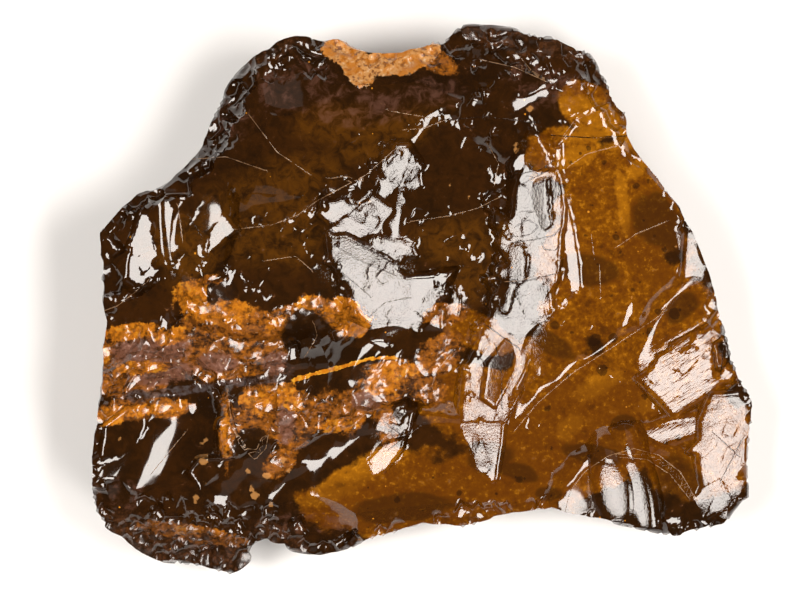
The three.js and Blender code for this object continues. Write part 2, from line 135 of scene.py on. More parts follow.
# The same for the underside, where a scar rises toward its direction.
UNDER_SCARS = {
    "left": ((-21.5, 4, 5.8), (170, 42), (60, 34, 170), (10, 8.5, 170), 5),
    "left_low": ((-20.5, -9.5, 4.8), (197, 33), (45, 16, 17), (11, 6.5, 17), 4),
    "low_left": ((-17.5, -18.5, 2.6), (238, 31), (40, 24, 58), (8.5, 6.5, 58), 4),
    "low_middle": ((-5, -16, 2.8), (264, 37), (60, 18, 84), (8, 8.5, 84), 5),
    "low": ((5.5, -17, 3.8), (282, 42), (40, 20, 102), (7, 5, 102), 3),
    "low_right": ((13, -13.5, 2.8), (296, 29), (60, 26, 116), (9, 6, 116), 4),
    "right_low": ((21.5, -13, 4.6), (326, 23), (50, 22, 146), (10, 6.5, 146), 5),
    "right": ((16.5, -1, 3.4), (6, 24), (90, 40, 6), (13, 8.5, 6), 6),
    "right_high": ((19, 9.5, 6.4), (30, 43), (40, 18, 30), (7, 5.5, 30), 3),
    "high_right": ((12, 14.5, 4.2), (58, 38), (60, 20, 58), (9.5, 6.5, 58), 4),
    "high": ((2, 16.5, 5), (86, 39), (60, 30, 86), (8, 7, 86), 4),
    "high_middle": ((-7.5, 14.5, 3.6), (104, 33), (50, 18, 104), (10, 5.5, 104), 4),
    "high_left": ((-15, 14.5, 6.2), (138, 47), (60, 26, 138), (8, 7.5, 138), 5),
    "left_nick": ((-25, 0.5, 9.4), (186, 50), (14, 9, 6), (-25.5, 0.5, 5, 3, 6), 2),
    "corner_nick": ((25, -17, 5.6), (300, 34), (18, 10, 120), (25, -17.5, 5, 3.5, 120), 2),
    "high_nick": ((7, 21, 7.4), (74, 42), (16, 9, 74), (7, 21.5, 4.5, 3, 74), 2),
}


NOISE_HEIGHT = 1.7    # brings one layer of noise to about -1 to 1
LAYERS_HEIGHT = 1.6   # what the heights of added layers come to
LAYER_SHIFT = 17      # how far each layer is moved from the one before


class Noise:
    """Smooth gradient noise in space, about -1 to 1, the same for the same seed."""

    def __init__(self, seed):
        rng = np.random.default_rng(seed)
        slopes = rng.normal(size=(256, 3))
        self.slopes = slopes / np.linalg.norm(slopes, axis=1)[:, None]
        self.order = rng.permutation(256)

    def __call__(self, x, y, z=0.0):
        x, y, z = np.broadcast_arrays(*(np.asarray(v, float) for v in (x, y, z)))
        corner = [np.floor(v).astype(int) for v in (x, y, z)]
        part = [v - c for v, c in zip((x, y, z), corner)]
        ease = [p * p * p * (p * (p * 6 - 15) + 10) for p in part]
        total = np.zeros(x.shape)
        for i in (0, 1):
            for j in (0, 1):
                for k in (0, 1):
                    place = self.order[(corner[0] + i) % 256]
                    place = self.order[(place + corner[1] + j) % 256]
                    slope = self.slopes[self.order[(place + corner[2] + k) % 256]]
                    pull = slope[..., 0] * (part[0] - i) + slope[..., 1] * (part[1] - j)
                    pull = pull + slope[..., 2] * (part[2] - k)
                    share = np.ones(x.shape)
                    for side, e in zip((i, j, k), ease):
                        share = share * (e if side else 1 - e)
                    total = total + share * pull
        return total * NOISE_HEIGHT

    def layers(self, x, y, count, z):
        """Noise with finer and weaker layers added; z only picks a slice of it."""
        found = sum(self(x * 2**n + LAYER_SHIFT * n, y * 2**n, z) / 2**n for n in range(count))
        return found / LAYERS_HEIGHT


def smooth_step(low, high, value):
    share = np.clip((value - low) / (high - low), 0, 1)
    return share * share * (3 - 2 * share)


def along_and_across(x, y, centre_x, centre_y, direction, bend=0.0):
    """Offset of points from a centre, in turned axes, the path bent like a scar's grain."""
    turn = math.radians(direction)
    along = (x - centre_x) * math.cos(turn) + (y - centre_y) * math.sin(turn)
    across = (y - centre_y) * math.cos(turn) - (x - centre_x) * math.sin(turn)
    return along, across - bend * along * along


def sides(corners):
    """Both ends of each side of a closed outline."""
    return zip(corners, [*corners[1:], *corners[:1]])


def from_line(x, y, x0, y0, x1, y1):
    """Distance of points from the straight line between two ends, and which side they lie on."""
    dx, dy, at_x, at_y = x1 - x0, y1 - y0, x - x0, y - y0
    share = np.clip((at_x * dx + at_y * dy) / (dx * dx + dy * dy), 0, 1)
    return np.hypot(at_x - share * dx, at_y - share * dy), np.sign(dx * at_y - dy * at_x)


def turned_point(centre_x, centre_y, along, across, direction):
    """The point at offsets along and across a turned axis through a centre."""
    turn = math.radians(direction)
    return (centre_x + along * math.cos(turn) - across * math.sin(turn),
            centre_y + along * math.sin(turn) + across * math.cos(turn))


class Swell:
    """The slow noise that bends every scar, found once for a set of points."""

    def __init__(self, x, y):
        self.drift = SLOW(x / DRIFT_LENGTH, y / DRIFT_LENGTH)
        self.swell = 0.5 + 0.5 * SLOW(x / SWELL_LENGTH, y / SWELL_LENGTH, SWELL_SLICE)
        self.wander = SLOW.layers(x / WANDER_LENGTH, y / WANDER_LENGTH, 3, WANDER_SLICE)

    def at(self, chosen):
        part = object.__new__(Swell)
        part.drift, part.swell, part.wander = self.drift[chosen], self.swell[chosen], self.wander[chosen]
        return part


class Scar:
    """The shallow bowl that one flake left, rising in a lip round its reach."""

    def __init__(self, middle, slope, bow, reach, lip, bend=0.0, side=1, waves=(0.0, 1.0),
                 wobble=0.0, streaks=(), corners=()):
        self.middle, self.bow, self.reach, self.lip = middle, bow, reach, lip
        self.bend, self.side, self.wobble, self.streaks = bend, side, wobble, streaks
        fall = math.radians(slope[0])
        self.down = (math.cos(fall), math.sin(fall))
        self.steep = math.tan(math.radians(slope[1]))
        self.strike = [reach[k] - self.down[k] * reach[2] for k in (0, 1)]
        self.wave_length = waves[1]
        self.wave_height = math.tan(math.radians(waves[0])) * waves[1] / (2 * math.pi)
        self.span = max(reach[2], reach[3]) + math.sqrt(2 * lip * LIP_CLIMB)
        self.fences = []
        for (x0, y0), (x1, y1) in sides(corners):
            length = math.hypot(x1 - x0, y1 - y0)
            self.fences.append((x0, y0, (y1 - y0) / length, -(x1 - x0) / length))

    def near(self, x, y):
        return np.hypot(x - self.reach[0], y - self.reach[1]) < self.span

    def beyond(self, x, y, wander):
        """How far points lie outside the scar's reach."""
        if self.fences:
            past = np.full(np.shape(x), -9.0)
            for x0, y0, out_x, out_y in self.fences:
                past = np.maximum(past, (x - x0) * out_x + (y - y0) * out_y)
            return np.maximum(0, past + FENCE_WOBBLE * self.wobble * wander)
        centre_x, centre_y, long, wide, direction = self.reach
        u, v = along_and_across(x, y, centre_x, centre_y, direction, self.bend)
        share = np.hypot(u / long, v / wide) * (1 + self.wobble * wander)
        return np.maximum(0, share - 1) * min(long, wide)

    def level(self, x, y, swell=None):
        mid_x, mid_y, mid_z = self.middle
        swell = swell or Swell(x, y)
        along, across = along_and_across(x, y, mid_x, mid_y, self.bow[2], self.bend)
        rise = along**2 / (2 * self.bow[0]) + across**2 / (2 * self.bow[1])
        rise = rise + self.beyond(x, y, swell.wander) ** 2 / (2 * self.lip)
        fall = self.steep * ((x - mid_x) * self.down[0] + (y - mid_y) * self.down[1])
        if self.wave_height:
            far = np.hypot(x - self.strike[0], y - self.strike[1])
            turns = 2 * math.pi * far / self.wave_length + RIPPLE_DRIFT * swell.drift + mid_z
            rise = rise + self.wave_height * swell.swell * np.sin(turns)
        for height, spacing, direction, *grows in self.streaks:
            u, v = along_and_across(x, y, self.reach[0], self.reach[1], direction)
            line = SLOW(v / spacing, u / (STREAK_STRETCH * spacing), spacing)
            rise = rise + height * line * (smooth_step(*grows, -across) if grows else 1)
        return mid_z + self.side * (rise - fall)


SLOW = Noise(11)
FINE = Noise(23)
DRIFT_LENGTH = 3.1    # how far apart the ripples' delays change
SWELL_LENGTH = 4.7    # the same for the ripples' height
WANDER_LENGTH = 2.1   # the same for the scars' outlines
SWELL_SLICE = 9.0     # heights in the slow noise that the swell and the wander are taken from
WANDER_SLICE = 3.3
RIPPLE_DRIFT = 5      # how much the ripples are delayed here and there
FENCE_WOBBLE = 2.2    # straight sides wander this many times as far, in millimetres
STREAK_STRETCH = 9    # a streak is this many times as long as its spacing
LIP_CLIMB = 9.0       # a scar's lip is followed this far up
WAVES = (0.9, 1.25)   # a glassy scar's ripples: their slope in degrees, their length
CALM = (0.25, 1.4)    # the same on the flat scars that mirror the lamps
CRISP_LIP = 0.3       # the lip of a scar with straight sides
# How much wider than its table some scars reach, so that they meet their neighbours in ridges.
GROWN = {
    "upper": 1.2, "middle": 1.2, "grey_facet": 1.3, "combed_slope": 1.7, "low_left": 1.15,
    "top_lump": 1.25, "top_lump_right": 1.2, "upper_left_edge": 1.15, "amber_bowl": 1.15, "crust": 1.1,
    "low_middle": 1.12, "lobes": 1.15, "centre_low": 1.2, "wedge": 1.5, "lip": 1.2, "top_crust": 1.2,
    "low_edge": 1.2, "bottom_edge": 1.15, "amber_low": 1.1,
}
REACH_WOBBLE = 0.07
BLADE_WOBBLE = 0.012

# Scars whose reach has straight sides, by their corners (counter-clockwise), and the flatter bow
# that their floor has here.
CORNERED = {
    "patch": ([(-8, 5.4), (-7.9, 3.8), (-6.4, 1.1), (-5.4, -0.5), (-1.1, 1.3), (-1.7, 2.3), (-3, 3.7),
               (-6.6, 5.5)], (80, 60)),
    "patch_low": ([(-6.1, 0.2), (-5.4, -1.3), (-4.3, -2.6), (-0.3, -2.7), (0.9, -0.6), (2.2, 2.2),
                   (-1.4, 1.8)], (80, 60)),
    "band": ([(9.3, 14.3), (8.45, 10.7), (7.6, 5), (7.5, 4), (11.7, 3.6), (12.3, 8), (11.7, 11.9),
              (10.6, 14.1)], (300, 42)),
    "band_mid": ([(7.6, 5), (5.5, -3.2), (4.9, -5), (9.6, -5), (11, -1.6), (11.4, 5)], (300, 42)),
    "band_low": ([(5.6, -2), (4.3, -5.2), (3.7, -6.9), (3.4, -9.4), (3.45, -10.78), (6.9, -10.78),
                  (9.8, -3.4), (10.2, -2)], (300, 80)),
    "band_end": ([(3.45, -10.78), (3.7, -11.7), (4.3, -12.9), (6, -15.7), (6.3, -15.6), (6.9, -12.4),
                  (6.95, -10.78)], (300, 80)),
    "blade_high": ([(9.3, 16.1), (11.45, 11.3), (11.95, 11.5), (10.7, 13.95)], (400, 400)),
    "blade": ([(11.2, 12.1), (12.35, 5.7), (13.15, 5.8), (12.55, 9.15), (11.8, 11.9)], (400, 400)),
    "blade_low": ([(12.3, 6.2), (12.75, 2.9), (13.15, 0.2), (13.35, -0.6), (13.75, 0.5), (13.65, 3.1),
                   (13.1, 6.3)], (400, 400)),
    "small_patch": ([(-4.3, 5.2), (-3.2, 4), (-2.1, 3.4), (-0.7, 3.9), (-1.1, 5.1)], (60, 50)),
    "tongue": ([(-8.2, 6.4), (-7.7, 4.5), (-1.6, 6.9), (-3.1, 8.4), (-4.4, 9.1), (-6.6, 7.7)], (60, 40)),
    "lobe": ([(-3.7, 11.3), (-2.7, 9.7), (-1.2, 9.3), (-0.1, 9.8), (-0.4, 12), (-1.3, 13.3), (-2.4, 13.2)],
             (40, 40)),
    "slant_facet": ([(19, -6.9), (22, -10.1), (24.7, -8.1), (27.3, -6), (26.2, -2.5), (25.6, -2.3)],
                    (80, 34)),
    "tall_facet": ([(25.3, -8.4), (24.4, -10.4), (24.1, -14), (24.5, -16.6), (25.6, -18.9), (26.7, -19.5),
                    (28.4, -14.8), (28.6, -9.6), (27.6, -8.2)], (70, 26)),
    "left_bright": ([(-24.9, 7.7), (-25.4, 4), (-26.7, 2.4), (-24.8, 1.2), (-23.5, 2), (-23.2, 4.4),
                     (-23.6, 7.6)], (50, 26)),
    "slot": ([(7.3, -3.4), (5.8, -5.4), (5.4, -8.4), (6.3, -9.2), (7.3, -7.4), (8.5, -4.2)], (60, 30)),
    "hook_patch": ([(-4.8, -15.1), (-1.7, -12.7), (-1.1, -9.9), (-3.6, -9.9), (-4.6, -12.2)], (60, 30)),
    "rim_facet": ([(22.9, 6.2), (22.8, 3.8), (22.4, 0.6), (25.4, 1.8), (24, 5.6)], (60, 60)),
}

# Small flat facets that break the large scars: (x, y), (falls toward, dip), [corners], and how far
# sunk at (x, y) where it isn't the usual depth.
FACET_SINK = 0.06
FACET_BOW = (60, 60, 0)
FACET_LIP = 0.08
FACET_WOBBLE = 0.05
FACETS = [
    # bits all over the face that mirror a lamp
    ((-18.4, 6), (180, 10.2), [(-18.2, 8.9), (-18.5, 5.6), (-20.4, 2.7), (-19.7, 2.9), (-16.1, 6.1)]),
    ((-26.3, 7), (190, 9), [(-26.7, 7.6), (-26.6, 6.5), (-26, 6.3), (-25.9, 7.5)], 0.55),
    ((-3.2, 9.4), (0, 11.8), [(-4.7, 8.5), (-3.4, 7.8), (-2.5, 10.2), (-3.1, 11)], 0.08),
    ((-7.2, 7.6), (0, 11.8), [(-9.1, 7.4), (-7.9, 6.4), (-5.9, 7.9), (-6.6, 8.7), (-8.2, 8.5)]),
    ((1.9, 17.6), (0, 11.6), [(0.6, 18), (1.2, 17.4), (2, 17.9), (1.6, 18.8), (0.7, 18.7)]),
    ((4.5, 17), (0, 11.6), [(4, 16.9), (4.5, 16.2), (4.9, 17.4), (4.4, 17.6)]),
    ((2.8, 15.3), (0, 11.6), [(2, 15.7), (3.6, 14.6), (3.9, 14.8), (3.1, 15.7)]),
    ((6.4, 10.4), (180, 11.6), [(6, 11.5), (6.3, 9.6), (6.7, 9.4), (6.5, 11)]),
    ((7, 7.6), (180, 11.6), [(6.5, 8.7), (6.4, 7.2), (6.8, 6), (7.3, 6.2), (7.4, 7.4), (7.1, 9.2)]),
    ((3.4, 4.5), (0, 11.6), [(3, 4.8), (3.4, 4.2), (3.9, 4.3), (3.6, 4.9)]),
    ((4.4, 3.7), (0, 11.6), [(3.8, 3.8), (4.6, 3.3), (4.9, 3.7), (4.4, 4.1)]),
    ((1.1, -2.2), (0, 11.6), [(0.7, -1.4), (0.5, -3.6), (1.7, -3.6), (1.8, -0.7), (0.9, -0.8)]),
    ((2.6, -0.2), (0, 11.6), [(1.6, -0.2), (2.1, -1.2), (3.1, -1.7), (3.3, 0), (3.1, 1.1), (2.3, 1)]),
    ((-11, -4.9), (180, 10.8), [(-11.7, -4.1), (-11.5, -5.8), (-10.4, -6), (-10.9, -3.9)], 0.16),
    ((-22.4, -1.8), (180, 10.2), [(-22.6, -1), (-22.9, -2.8), (-22, -2.9), (-21.9, -1)]),
    ((-25.1, -7.4), (180, 10.2), [(-24.9, -6.5), (-25.9, -8.1), (-24.8, -8.3), (-24.3, -6.4)]),
    ((-16.6, 2), (180, 10.6), [(-17, 2.6), (-16.9, 1.2), (-16.2, 1.4), (-16.3, 2.7)]),
    ((-27.3, -18.3), (180, 10.2), [(-28.2, -17.6), (-28.3, -18.7), (-26.9, -18.9), (-26.9, -17.8)]),
    ((-3.4, -13.7), (0, 11.6), [(-4.7, -13.9), (-4.2, -15.1), (-3.3, -14.9), (-1.7, -12.9), (-1.6, -12.1),
                                (-3.6, -12.7)], 0.34),
    ((3.4, -18.9), (0, 11.6), [(2.3, -19.4), (3.6, -19.9), (4.6, -18.6), (3.4, -17.9)]),
    ((5.6, 17.6), (180, 11.6), [(5.2, 18.2), (5.4, 17), (6.2, 17.4), (6, 18.2)]),
    ((23.9, -19.8), (0, 9.6), [(22.8, -20), (23.4, -18.8), (24.2, -18), (26, -19.2), (25.2, -20.2)]),
    # panels in the band that face past the lamp
    ((10, 12.6), (0, 18.5), [(9.3, 14.6), (8.9, 12.6), (8.8, 11.2), (11.5, 11.4), (10.9, 13.1),
                             (10.2, 14.3)], 0.17),
    ((10.3, 8.3), (0, 15.9), [(9.6, 10.3), (9.3, 7.4), (10.3, 6), (11, 6.4), (10.9, 10.5)], 0.08),
    ((8.1, 3.2), (0, 15.6), [(7.7, 4.7), (7.3, 1.6), (8.6, 1.5), (9, 2), (9, 3.9), (8.6, 4.9)], 0.08),
    ((7.5, 0.4), (0, 15.4), [(7.35, 1.7), (6.8, -1), (7.3, -1.3), (8.2, 1.6)], 0.08),
    # two more below the bright patch
    ((-3.6, -3.8), (0, 11.6), [(-4.5, -3.4), (-4, -3.9), (-2.9, -4.2), (-2.7, -3.8), (-3.4, -3.4)]),
    ((1.9, -4.9), (0, 11.6), [(1.1, -5.6), (1.4, -5.8), (2.9, -4.2), (2.4, -4.2), (1.2, -5.1)]),
    # calm facets on the slopes at the lower left
    ((-26, -11.6), (350, 2.5), [(-25.6, -9.4), (-27.6, -11), (-27.9, -13.8), (-25.4, -13.2), (-24, -11),
                                (-23.9, -9.6)], 0.34),
    ((-18.4, -15.2), (250, 8), [(-20.2, -15), (-19.2, -16.6), (-17.2, -16.2), (-16.6, -14.6),
                                (-17.6, -13.8), (-19.4, -13.9)], 0.3),
    # the dark side of the left rim, and the upper end of the bright facet beside it
    ((-25.6, 2.6), (185, 22), [(-28.9, 1.2), (-26.4, 0.8), (-24.6, 5.2), (-24, 7.4), (-26.4, 8),
                               (-28.9, 7)], -0.35),
    ((-24.6, 4.2), (180, 9.6), [(-24.4, 7.7), (-25.5, 4.6), (-24.9, 3.6), (-23.4, 4.4), (-23.6, 7.6)], 0.02),
    # a dull facet at the lower left corner
    ((-26.2, -17.2), (262, 25), [(-27.4, -15.9), (-27.2, -18), (-25.4, -18.6), (-25, -17.2),
                                 (-26.2, -15.8)], 0.3),
]

# Fine lines in a scar: (height, spacing, direction), and between which offsets across it they grow
# in, where they don't run all over it.
STREAKS = {
    "band": [(0.01, 0.8, 78)], "band_mid": [(0.022, 0.42, 176, 0.9, 2), (0.01, 0.8, 78)],
    "band_low": [(0.01, 0.7, 66)], "band_end": [(0.01, 0.6, 98)], "patch": [(0.01, 0.6, 80)],
    "lobe": [(0.016, 0.5, 84)], "slant_facet": [(0.012, 0.38, 33)],
    "tall_facet": [(0.01, 0.5, 84), (0.01, 0.6, 20)], "left_bright": [(0.01, 0.6, 95)],
    "combed_slope": [(0.07, 0.7, 96)], "low_left": [(0.01, 0.6, 60)], "hook_patch": [(0.01, 0.5, 60)],
    "tongue": [(0.012, 0.5, 24)],
}


def scars_from(table, side):
    """The scars of a table; only the upper face's are grown or have corners."""
    scars = []
    for name, row in table.items():
        middle, slope, bow, reach, lip = row[:5]
        bend = row[5] if len(row) > 5 else 0.0
        if len(reach) == 3:
            reach = (*middle[:2], *reach)
        corners, flat = CORNERED.get(name, ((), ())) if side > 0 else ((), ())
        if corners:
            bow = (*flat, bow[2])
        waves = CALM if corners else WAVES
        lip = CRISP_LIP if corners else lip
        if side > 0 and name in GROWN:
            reach = (*reach[:2], reach[2] * GROWN[name], reach[3] * GROWN[name], reach[4])
        wobble = BLADE_WOBBLE if name.startswith("blade") else REACH_WOBBLE
        scars.append(Scar(middle, slope, bow, reach, lip, bend, side, waves, wobble,
                          STREAKS.get(name, ()), corners))
    return scars


# ---------------------------------------------------------------- colour patches

# Soft-edged patches: (x, y, half length, half width, direction).
PATCHES = {
    "amber": [
        (17, 6.5, 10.5, 5.6, 68), (20.5, -2, 6, 5, 60), (15.5, -10.5, 12.5, 5.4, 24),
        (10, -8, 7, 3.6, 60), (15.2, 16.5, 3.6, 2.4, 150), (2, -17, 12, 3.4, 6), (-4, -16.5, 6.5, 3, 20),
        (24.5, -13, 4, 6.5, 90), (12.5, 12.5, 2.6, 3.6, 90), (4.6, -9, 3.4, 5, 70), (5, -3, 1.6, 3.4, 66),
    ],
    "bright": [
        (15.6, 14.2, 3.6, 1.1, 172), (13.4, 12.6, 2.2, 0.9, 20), (18.6, 11.4, 1.2, 0.6, 50),
        (17.4, 8.8, 0.5, 3, 8), (12.7, -11.2, 1.3, 0.8, 40), (-6.6, -15.6, 6, 1.2, 32),
        (-4.5, -21.2, 4.6, 0.8, 4), (15.4, -7.4, 2, 1, 30), (20.4, -8.8, 2, 0.8, 20),
        (14.4, 16.4, 3.2, 1.3, 160),
    ],
    "deep": [
        (13, -11.6, 12, 4.6, 10), (4, -16.6, 9, 3.6, 0), (-5, -17.6, 5, 2.4, 10),
        (20.5, 5.6, 3.4, 3.6, 100),
    ],
    "shade": [
        (20.4, 6.9, 2.6, 2, 112), (17.5, -10.7, 1.1, 0.6, 10), (8.2, -15, 1.9, 0.9, 160),
        (11, -16.9, 1.3, 0.7, 0), (14.6, -13.4, 2.4, 0.9, 170), (6, -13.8, 1.4, 2, 90),
        (-1.5, -18, 5, 1.2, 4), (14.4, 2.6, 1.2, 3, 80), (22.5, -16, 2.6, 1.8, 130),
        (22.6, -0.6, 1.6, 1, 40), (11.6, -4, 1, 2.2, 60),
    ],
    "olive": [
        (-13.5, 9.2, 6.4, 2.6, 24), (-20.5, 4.5, 3, 3.4, 90), (-12, 5.6, 4.6, 2.6, 10),
        (-3, 14.2, 5, 1.8, 20), (4, 5, 2, 5, 90), (4.6, 1.6, 1.8, 1.8, 40), (-8, 15.4, 3.4, 1.6, 10),
    ],
    "rust": [
        (-24, -5.4, 4.9, 2.6, 4), (-17.6, -4, 4.6, 3.2, 6), (-18.6, 0.2, 2.4, 1.8, 0),
        (-13.8, -4.4, 2.2, 2.4, 0), (-8, -1.4, 3.2, 1.6, 165), (-12.2, -1.7, 2.2, 0.9, 35),
        (-24.6, -9.5, 4.6, 1, 4), (-13.2, -9.8, 3, 2.6, 0), (-11.6, -11.6, 1.6, 1.6, 0),
        (-17, -11, 3.4, 0.7, 90), (-7.1, -9.8, 2.8, 2, 10), (-3.3, -7.6, 2.4, 1.4, 0),
        (-0.4, -7.2, 2.6, 1.5, 160), (2.2, -1.2, 0.9, 2, 100), (1.4, -4.8, 2.4, 1.6, 40),
        (-12.6, -14.2, 1.6, 1.2, 40), (-20, -20.4, 4.6, 0.7, 172), (-27.6, -7, 1.4, 3, 90),
        (-3.2, -10.6, 2.2, 1, 100), (1.4, 20.6, 1.8, 1, 150), (-2.2, -6.2, 3, 1, 0),
    ],
    "orange": [
        (-20, 0.6, 1.3, 1.6, 100), (-18.6, -0.9, 2.2, 0.9, 170), (-16.2, -0.8, 1.1, 1.2, 60),
        (-9.9, -0.3, 1.2, 0.6, 20), (-7.2, -1, 1.6, 1.2, 0), (-5.6, -2.2, 0.9, 1.2, 110),
        (-12.6, -1.9, 1.2, 0.6, 35), (-14, -9.4, 1, 0.7, 90), (-24.6, -9.6, 3.6, 0.5, 4),
        (-26.9, -10, 1.4, 0.7, 20), (-3.4, -7.4, 1.5, 0.9, 0), (-7.4, -10.9, 1.7, 0.5, 0),
        (-27.8, -4.8, 0.8, 0.7, 10), (-11, -9, 0.6, 0.8, 90), (-21.4, -9.2, 1.4, 0.5, 10),
        (-2.4, -6, 2.4, 0.6, 0), (-25.5, -2.8, 2.4, 0.7, 8), (-24.4, -5.9, 2.8, 0.6, 4),
        (-21.8, -3.2, 1.5, 0.6, 20), (-12.8, -8, 1.9, 0.8, 10), (-15.2, -8.8, 0.7, 0.9, 90),
        (-17.1, -11.4, 0.5, 2.2, 0), (-20.4, -20, 1.6, 0.4, 5), (-17.6, -20.3, 0.9, 0.4, 0),
    ],
    # The first six mauve patches lie in the crust and give it its colour. The rest lie on the dark glass and
    # the rims, where they are a painted grey-mauve sheen.
    "mauve": [
        (-23.8, -4.4, 3.4, 1.2, 6), (-22.6, -6.6, 3, 0.9, 10), (-12.6, -5.6, 1.2, 1, 0),
        (-11.8, -10.6, 2.2, 0.8, 85), (-4.8, -8.8, 1.3, 0.9, 0), (-17.8, -5.4, 1.6, 0.8, 0),
        (-5, 16.8, 5, 1.5, 4), (10.6, 18.4, 3.4, 1.8, 160), (-11, 18.6, 3.2, 2, 20),
        (-17.2, 15.6, 1.6, 2.4, 70), (-26.2, -16.8, 1.6, 1.6, 0), (-9.4, -19.4, 3, 1, 0),
        (1.6, 18, 3, 1.2, 0), (-20, -22.4, 6, 0.9, 172),
    ],
    "tan": [
        (-6.6, 21.6, 2.2, 1.3, 150), (-5.5, 20, 1.5, 1.3, 120), (-3, 20.6, 2.8, 1.2, 8),
        (-0.4, 21.3, 2.2, 1, 20),
    ],
    "rim": [
        (-20.5, -21.8, 8, 2, 172), (-12.5, -20.6, 3, 1.6, 150), (9, 22.8, 6.5, 1.5, 172),
        (-13, 22.2, 3.4, 1.3, 30), (20.9, 12.4, 5.6, 0.6, 122), (-25.5, -20, 2.5, 2, 130),
        (16.6, 18, 2.8, 0.7, 118),
    ],
    "chipped": [
        (-22, 10.4, 4.4, 1.2, 30), (-17.6, 15.4, 4, 1.4, 62), (-12, 21, 4.4, 2, 10),
        (9.5, 21.2, 7, 2.2, 172), (15.8, 18.6, 3.6, 1.2, 122), (21.2, 11.6, 6, 0.7, 122),
        (-21, -21.2, 8, 2.2, 172), (-12.5, -20.4, 3.4, 1.4, 150), (20, -19.7, 6.4, 0.9, 172),
        (5, -19.2, 6, 0.8, 2), (-6, -21.4, 5.4, 0.7, 5), (28.4, -13, 0.8, 5.4, 0),
        (27.3, -4, 0.6, 4.4, 14), (12.4, 16.6, 2.6, 1, 140), (-27.4, 5.6, 1, 3, 0),
        (-28.4, -12, 0.7, 8, 0), (6.6, 4.6, 0.9, 5, 0), (-20.2, -18.4, 4, 0.9, 170),
    ],
    "frost": [
        (-4.4, 1.6, 5.2, 4, 120), (-5.4, 6.9, 4, 2, 28), (-2.2, 11, 2.2, 2.6, 0),
        (-2.4, 4.5, 2.2, 1.2, -15), (8.9, 2, 12.5, 3, 80), (5.2, -10.6, 5.4, 2.2, 84),
        (-2.9, -12.4, 3, 1.8, 72), (26.4, -13.6, 2.6, 6.4, 0), (1.6, -1.4, 2.2, 3.2, 0),
        (16.8, -16.6, 2, 3, 10), (18.9, -17, 1.6, 3, 10), (24, 3.4, 1.6, 3.2, 20),
    ],
    "combed": [(23.2, -6, 5.4, 3.4, 33), (21.4, -11.6, 4, 1, 15)],
    "window": [
        (-9.6, -3.5, 2.9, 2, 150), (-6.2, -4.7, 2.6, 0.7, 172), (-18.2, 0.5, 0.5, 0.9, 0),
        (-16.8, 0.9, 0.9, 0.9, 40), (-15, -12.4, 1.5, 1.4, 0), (-18.4, -9.4, 1, 1.4, 60),
    ],
    "seam": [(-21.8, -7.95, 4, 0.42, 8), (-14.6, -7, 3.4, 0.36, 5), (-24.6, -8.3, 1, 0.6, 0)],
}
PATCH_EDGE = 0.22     # half the width of a patch's soft edge, where it isn't one of these
PATCH_SOFT = {"bright": 0.4, "shade": 0.4, "olive": 0.4, "orange": 0.45, "mauve": 0.45, "rust": 0.35,
              "window": 0.3, "seam": 0.4, "tan": 0.4, "rim": 0.35}

# Specks in the glass, (x, y, radius).
SPECKS = {
    "dark_specks": [
        (15, -3.5, 0.56), (16.6, -3.3, 0.42), (21.9, -1.2, 0.5), (19.8, -2.8, 0.42), (11.5, -2.2, 0.42),
        (20.5, -1, 0.3), (14.7, 8.2, 0.2), (14.4, 13.2, 0.22), (12.8, 12, 0.22), (15.8, 11.9, 0.24),
        (16.6, 14, 0.14), (19.3, -8.4, 0.26), (12.6, -6.6, 0.2), (10.9, -9.4, 0.26), (14.6, -13.6, 0.24),
        (8.4, -15.6, 0.3), (5.9, -14.6, 0.3), (18.6, 9.9, 0.3), (19.6, 10.3, 0.2), (21, 4.4, 0.2),
        (18.9, 1.6, 0.16), (16.4, 0.4, 0.16), (13.9, 11, 0.12), (17.2, 4.2, 0.14), (3.2, -16.8, 0.26),
        (-2.2, -17.4, 0.3), (13, -2.8, 0.16), (15.6, -6.1, 0.5), (21.2, -12.4, 0.22), (11.3, -12.9, 0.22),
        (22.3, -12, 0.3), (17.9, -13, 0.26), (14.2, 5.6, 0.12), (16.8, 5.5, 0.3), (18.3, 0.9, 0.2),
        (-20.4, -20.2, 0.22), (-19, -20.6, 0.32), (-18.3, -21.6, 0.3), (-25.7, 16.9, 0.2),
    ],
    "ochre_specks": [
        (-19.05, -14.05, 0.34), (-19.1, -12.35, 0.2), (-18.7, -12.1, 0.15), (-18.9, -16, 0.15),
        (-19.7, -17.1, 0.26), (-19.7, -17.5, 0.2), (-14.6, -17, 0.36), (-14.9, -16.4, 0.24),
        (-13.2, -17.8, 0.2), (-13.55, -15.3, 0.32), (-11.6, -14.8, 0.2), (-12.05, -13.95, 0.28),
        (-15.15, -14.9, 0.24), (-9.9, -10.65, 0.13), (-26.3, -12, 0.12), (8.1, 13, 0.24),
        (8.1, 13.5, 0.2), (4, 8.9, 0.18), (9.3, 16.6, 0.28), (18.2, 0.2, 0.12), (22, 4.6, 0.12),
        (-4.6, 8.6, 0.12), (2.4, 9.9, 0.12), (-17, -13.4, 0.2),
    ],
}

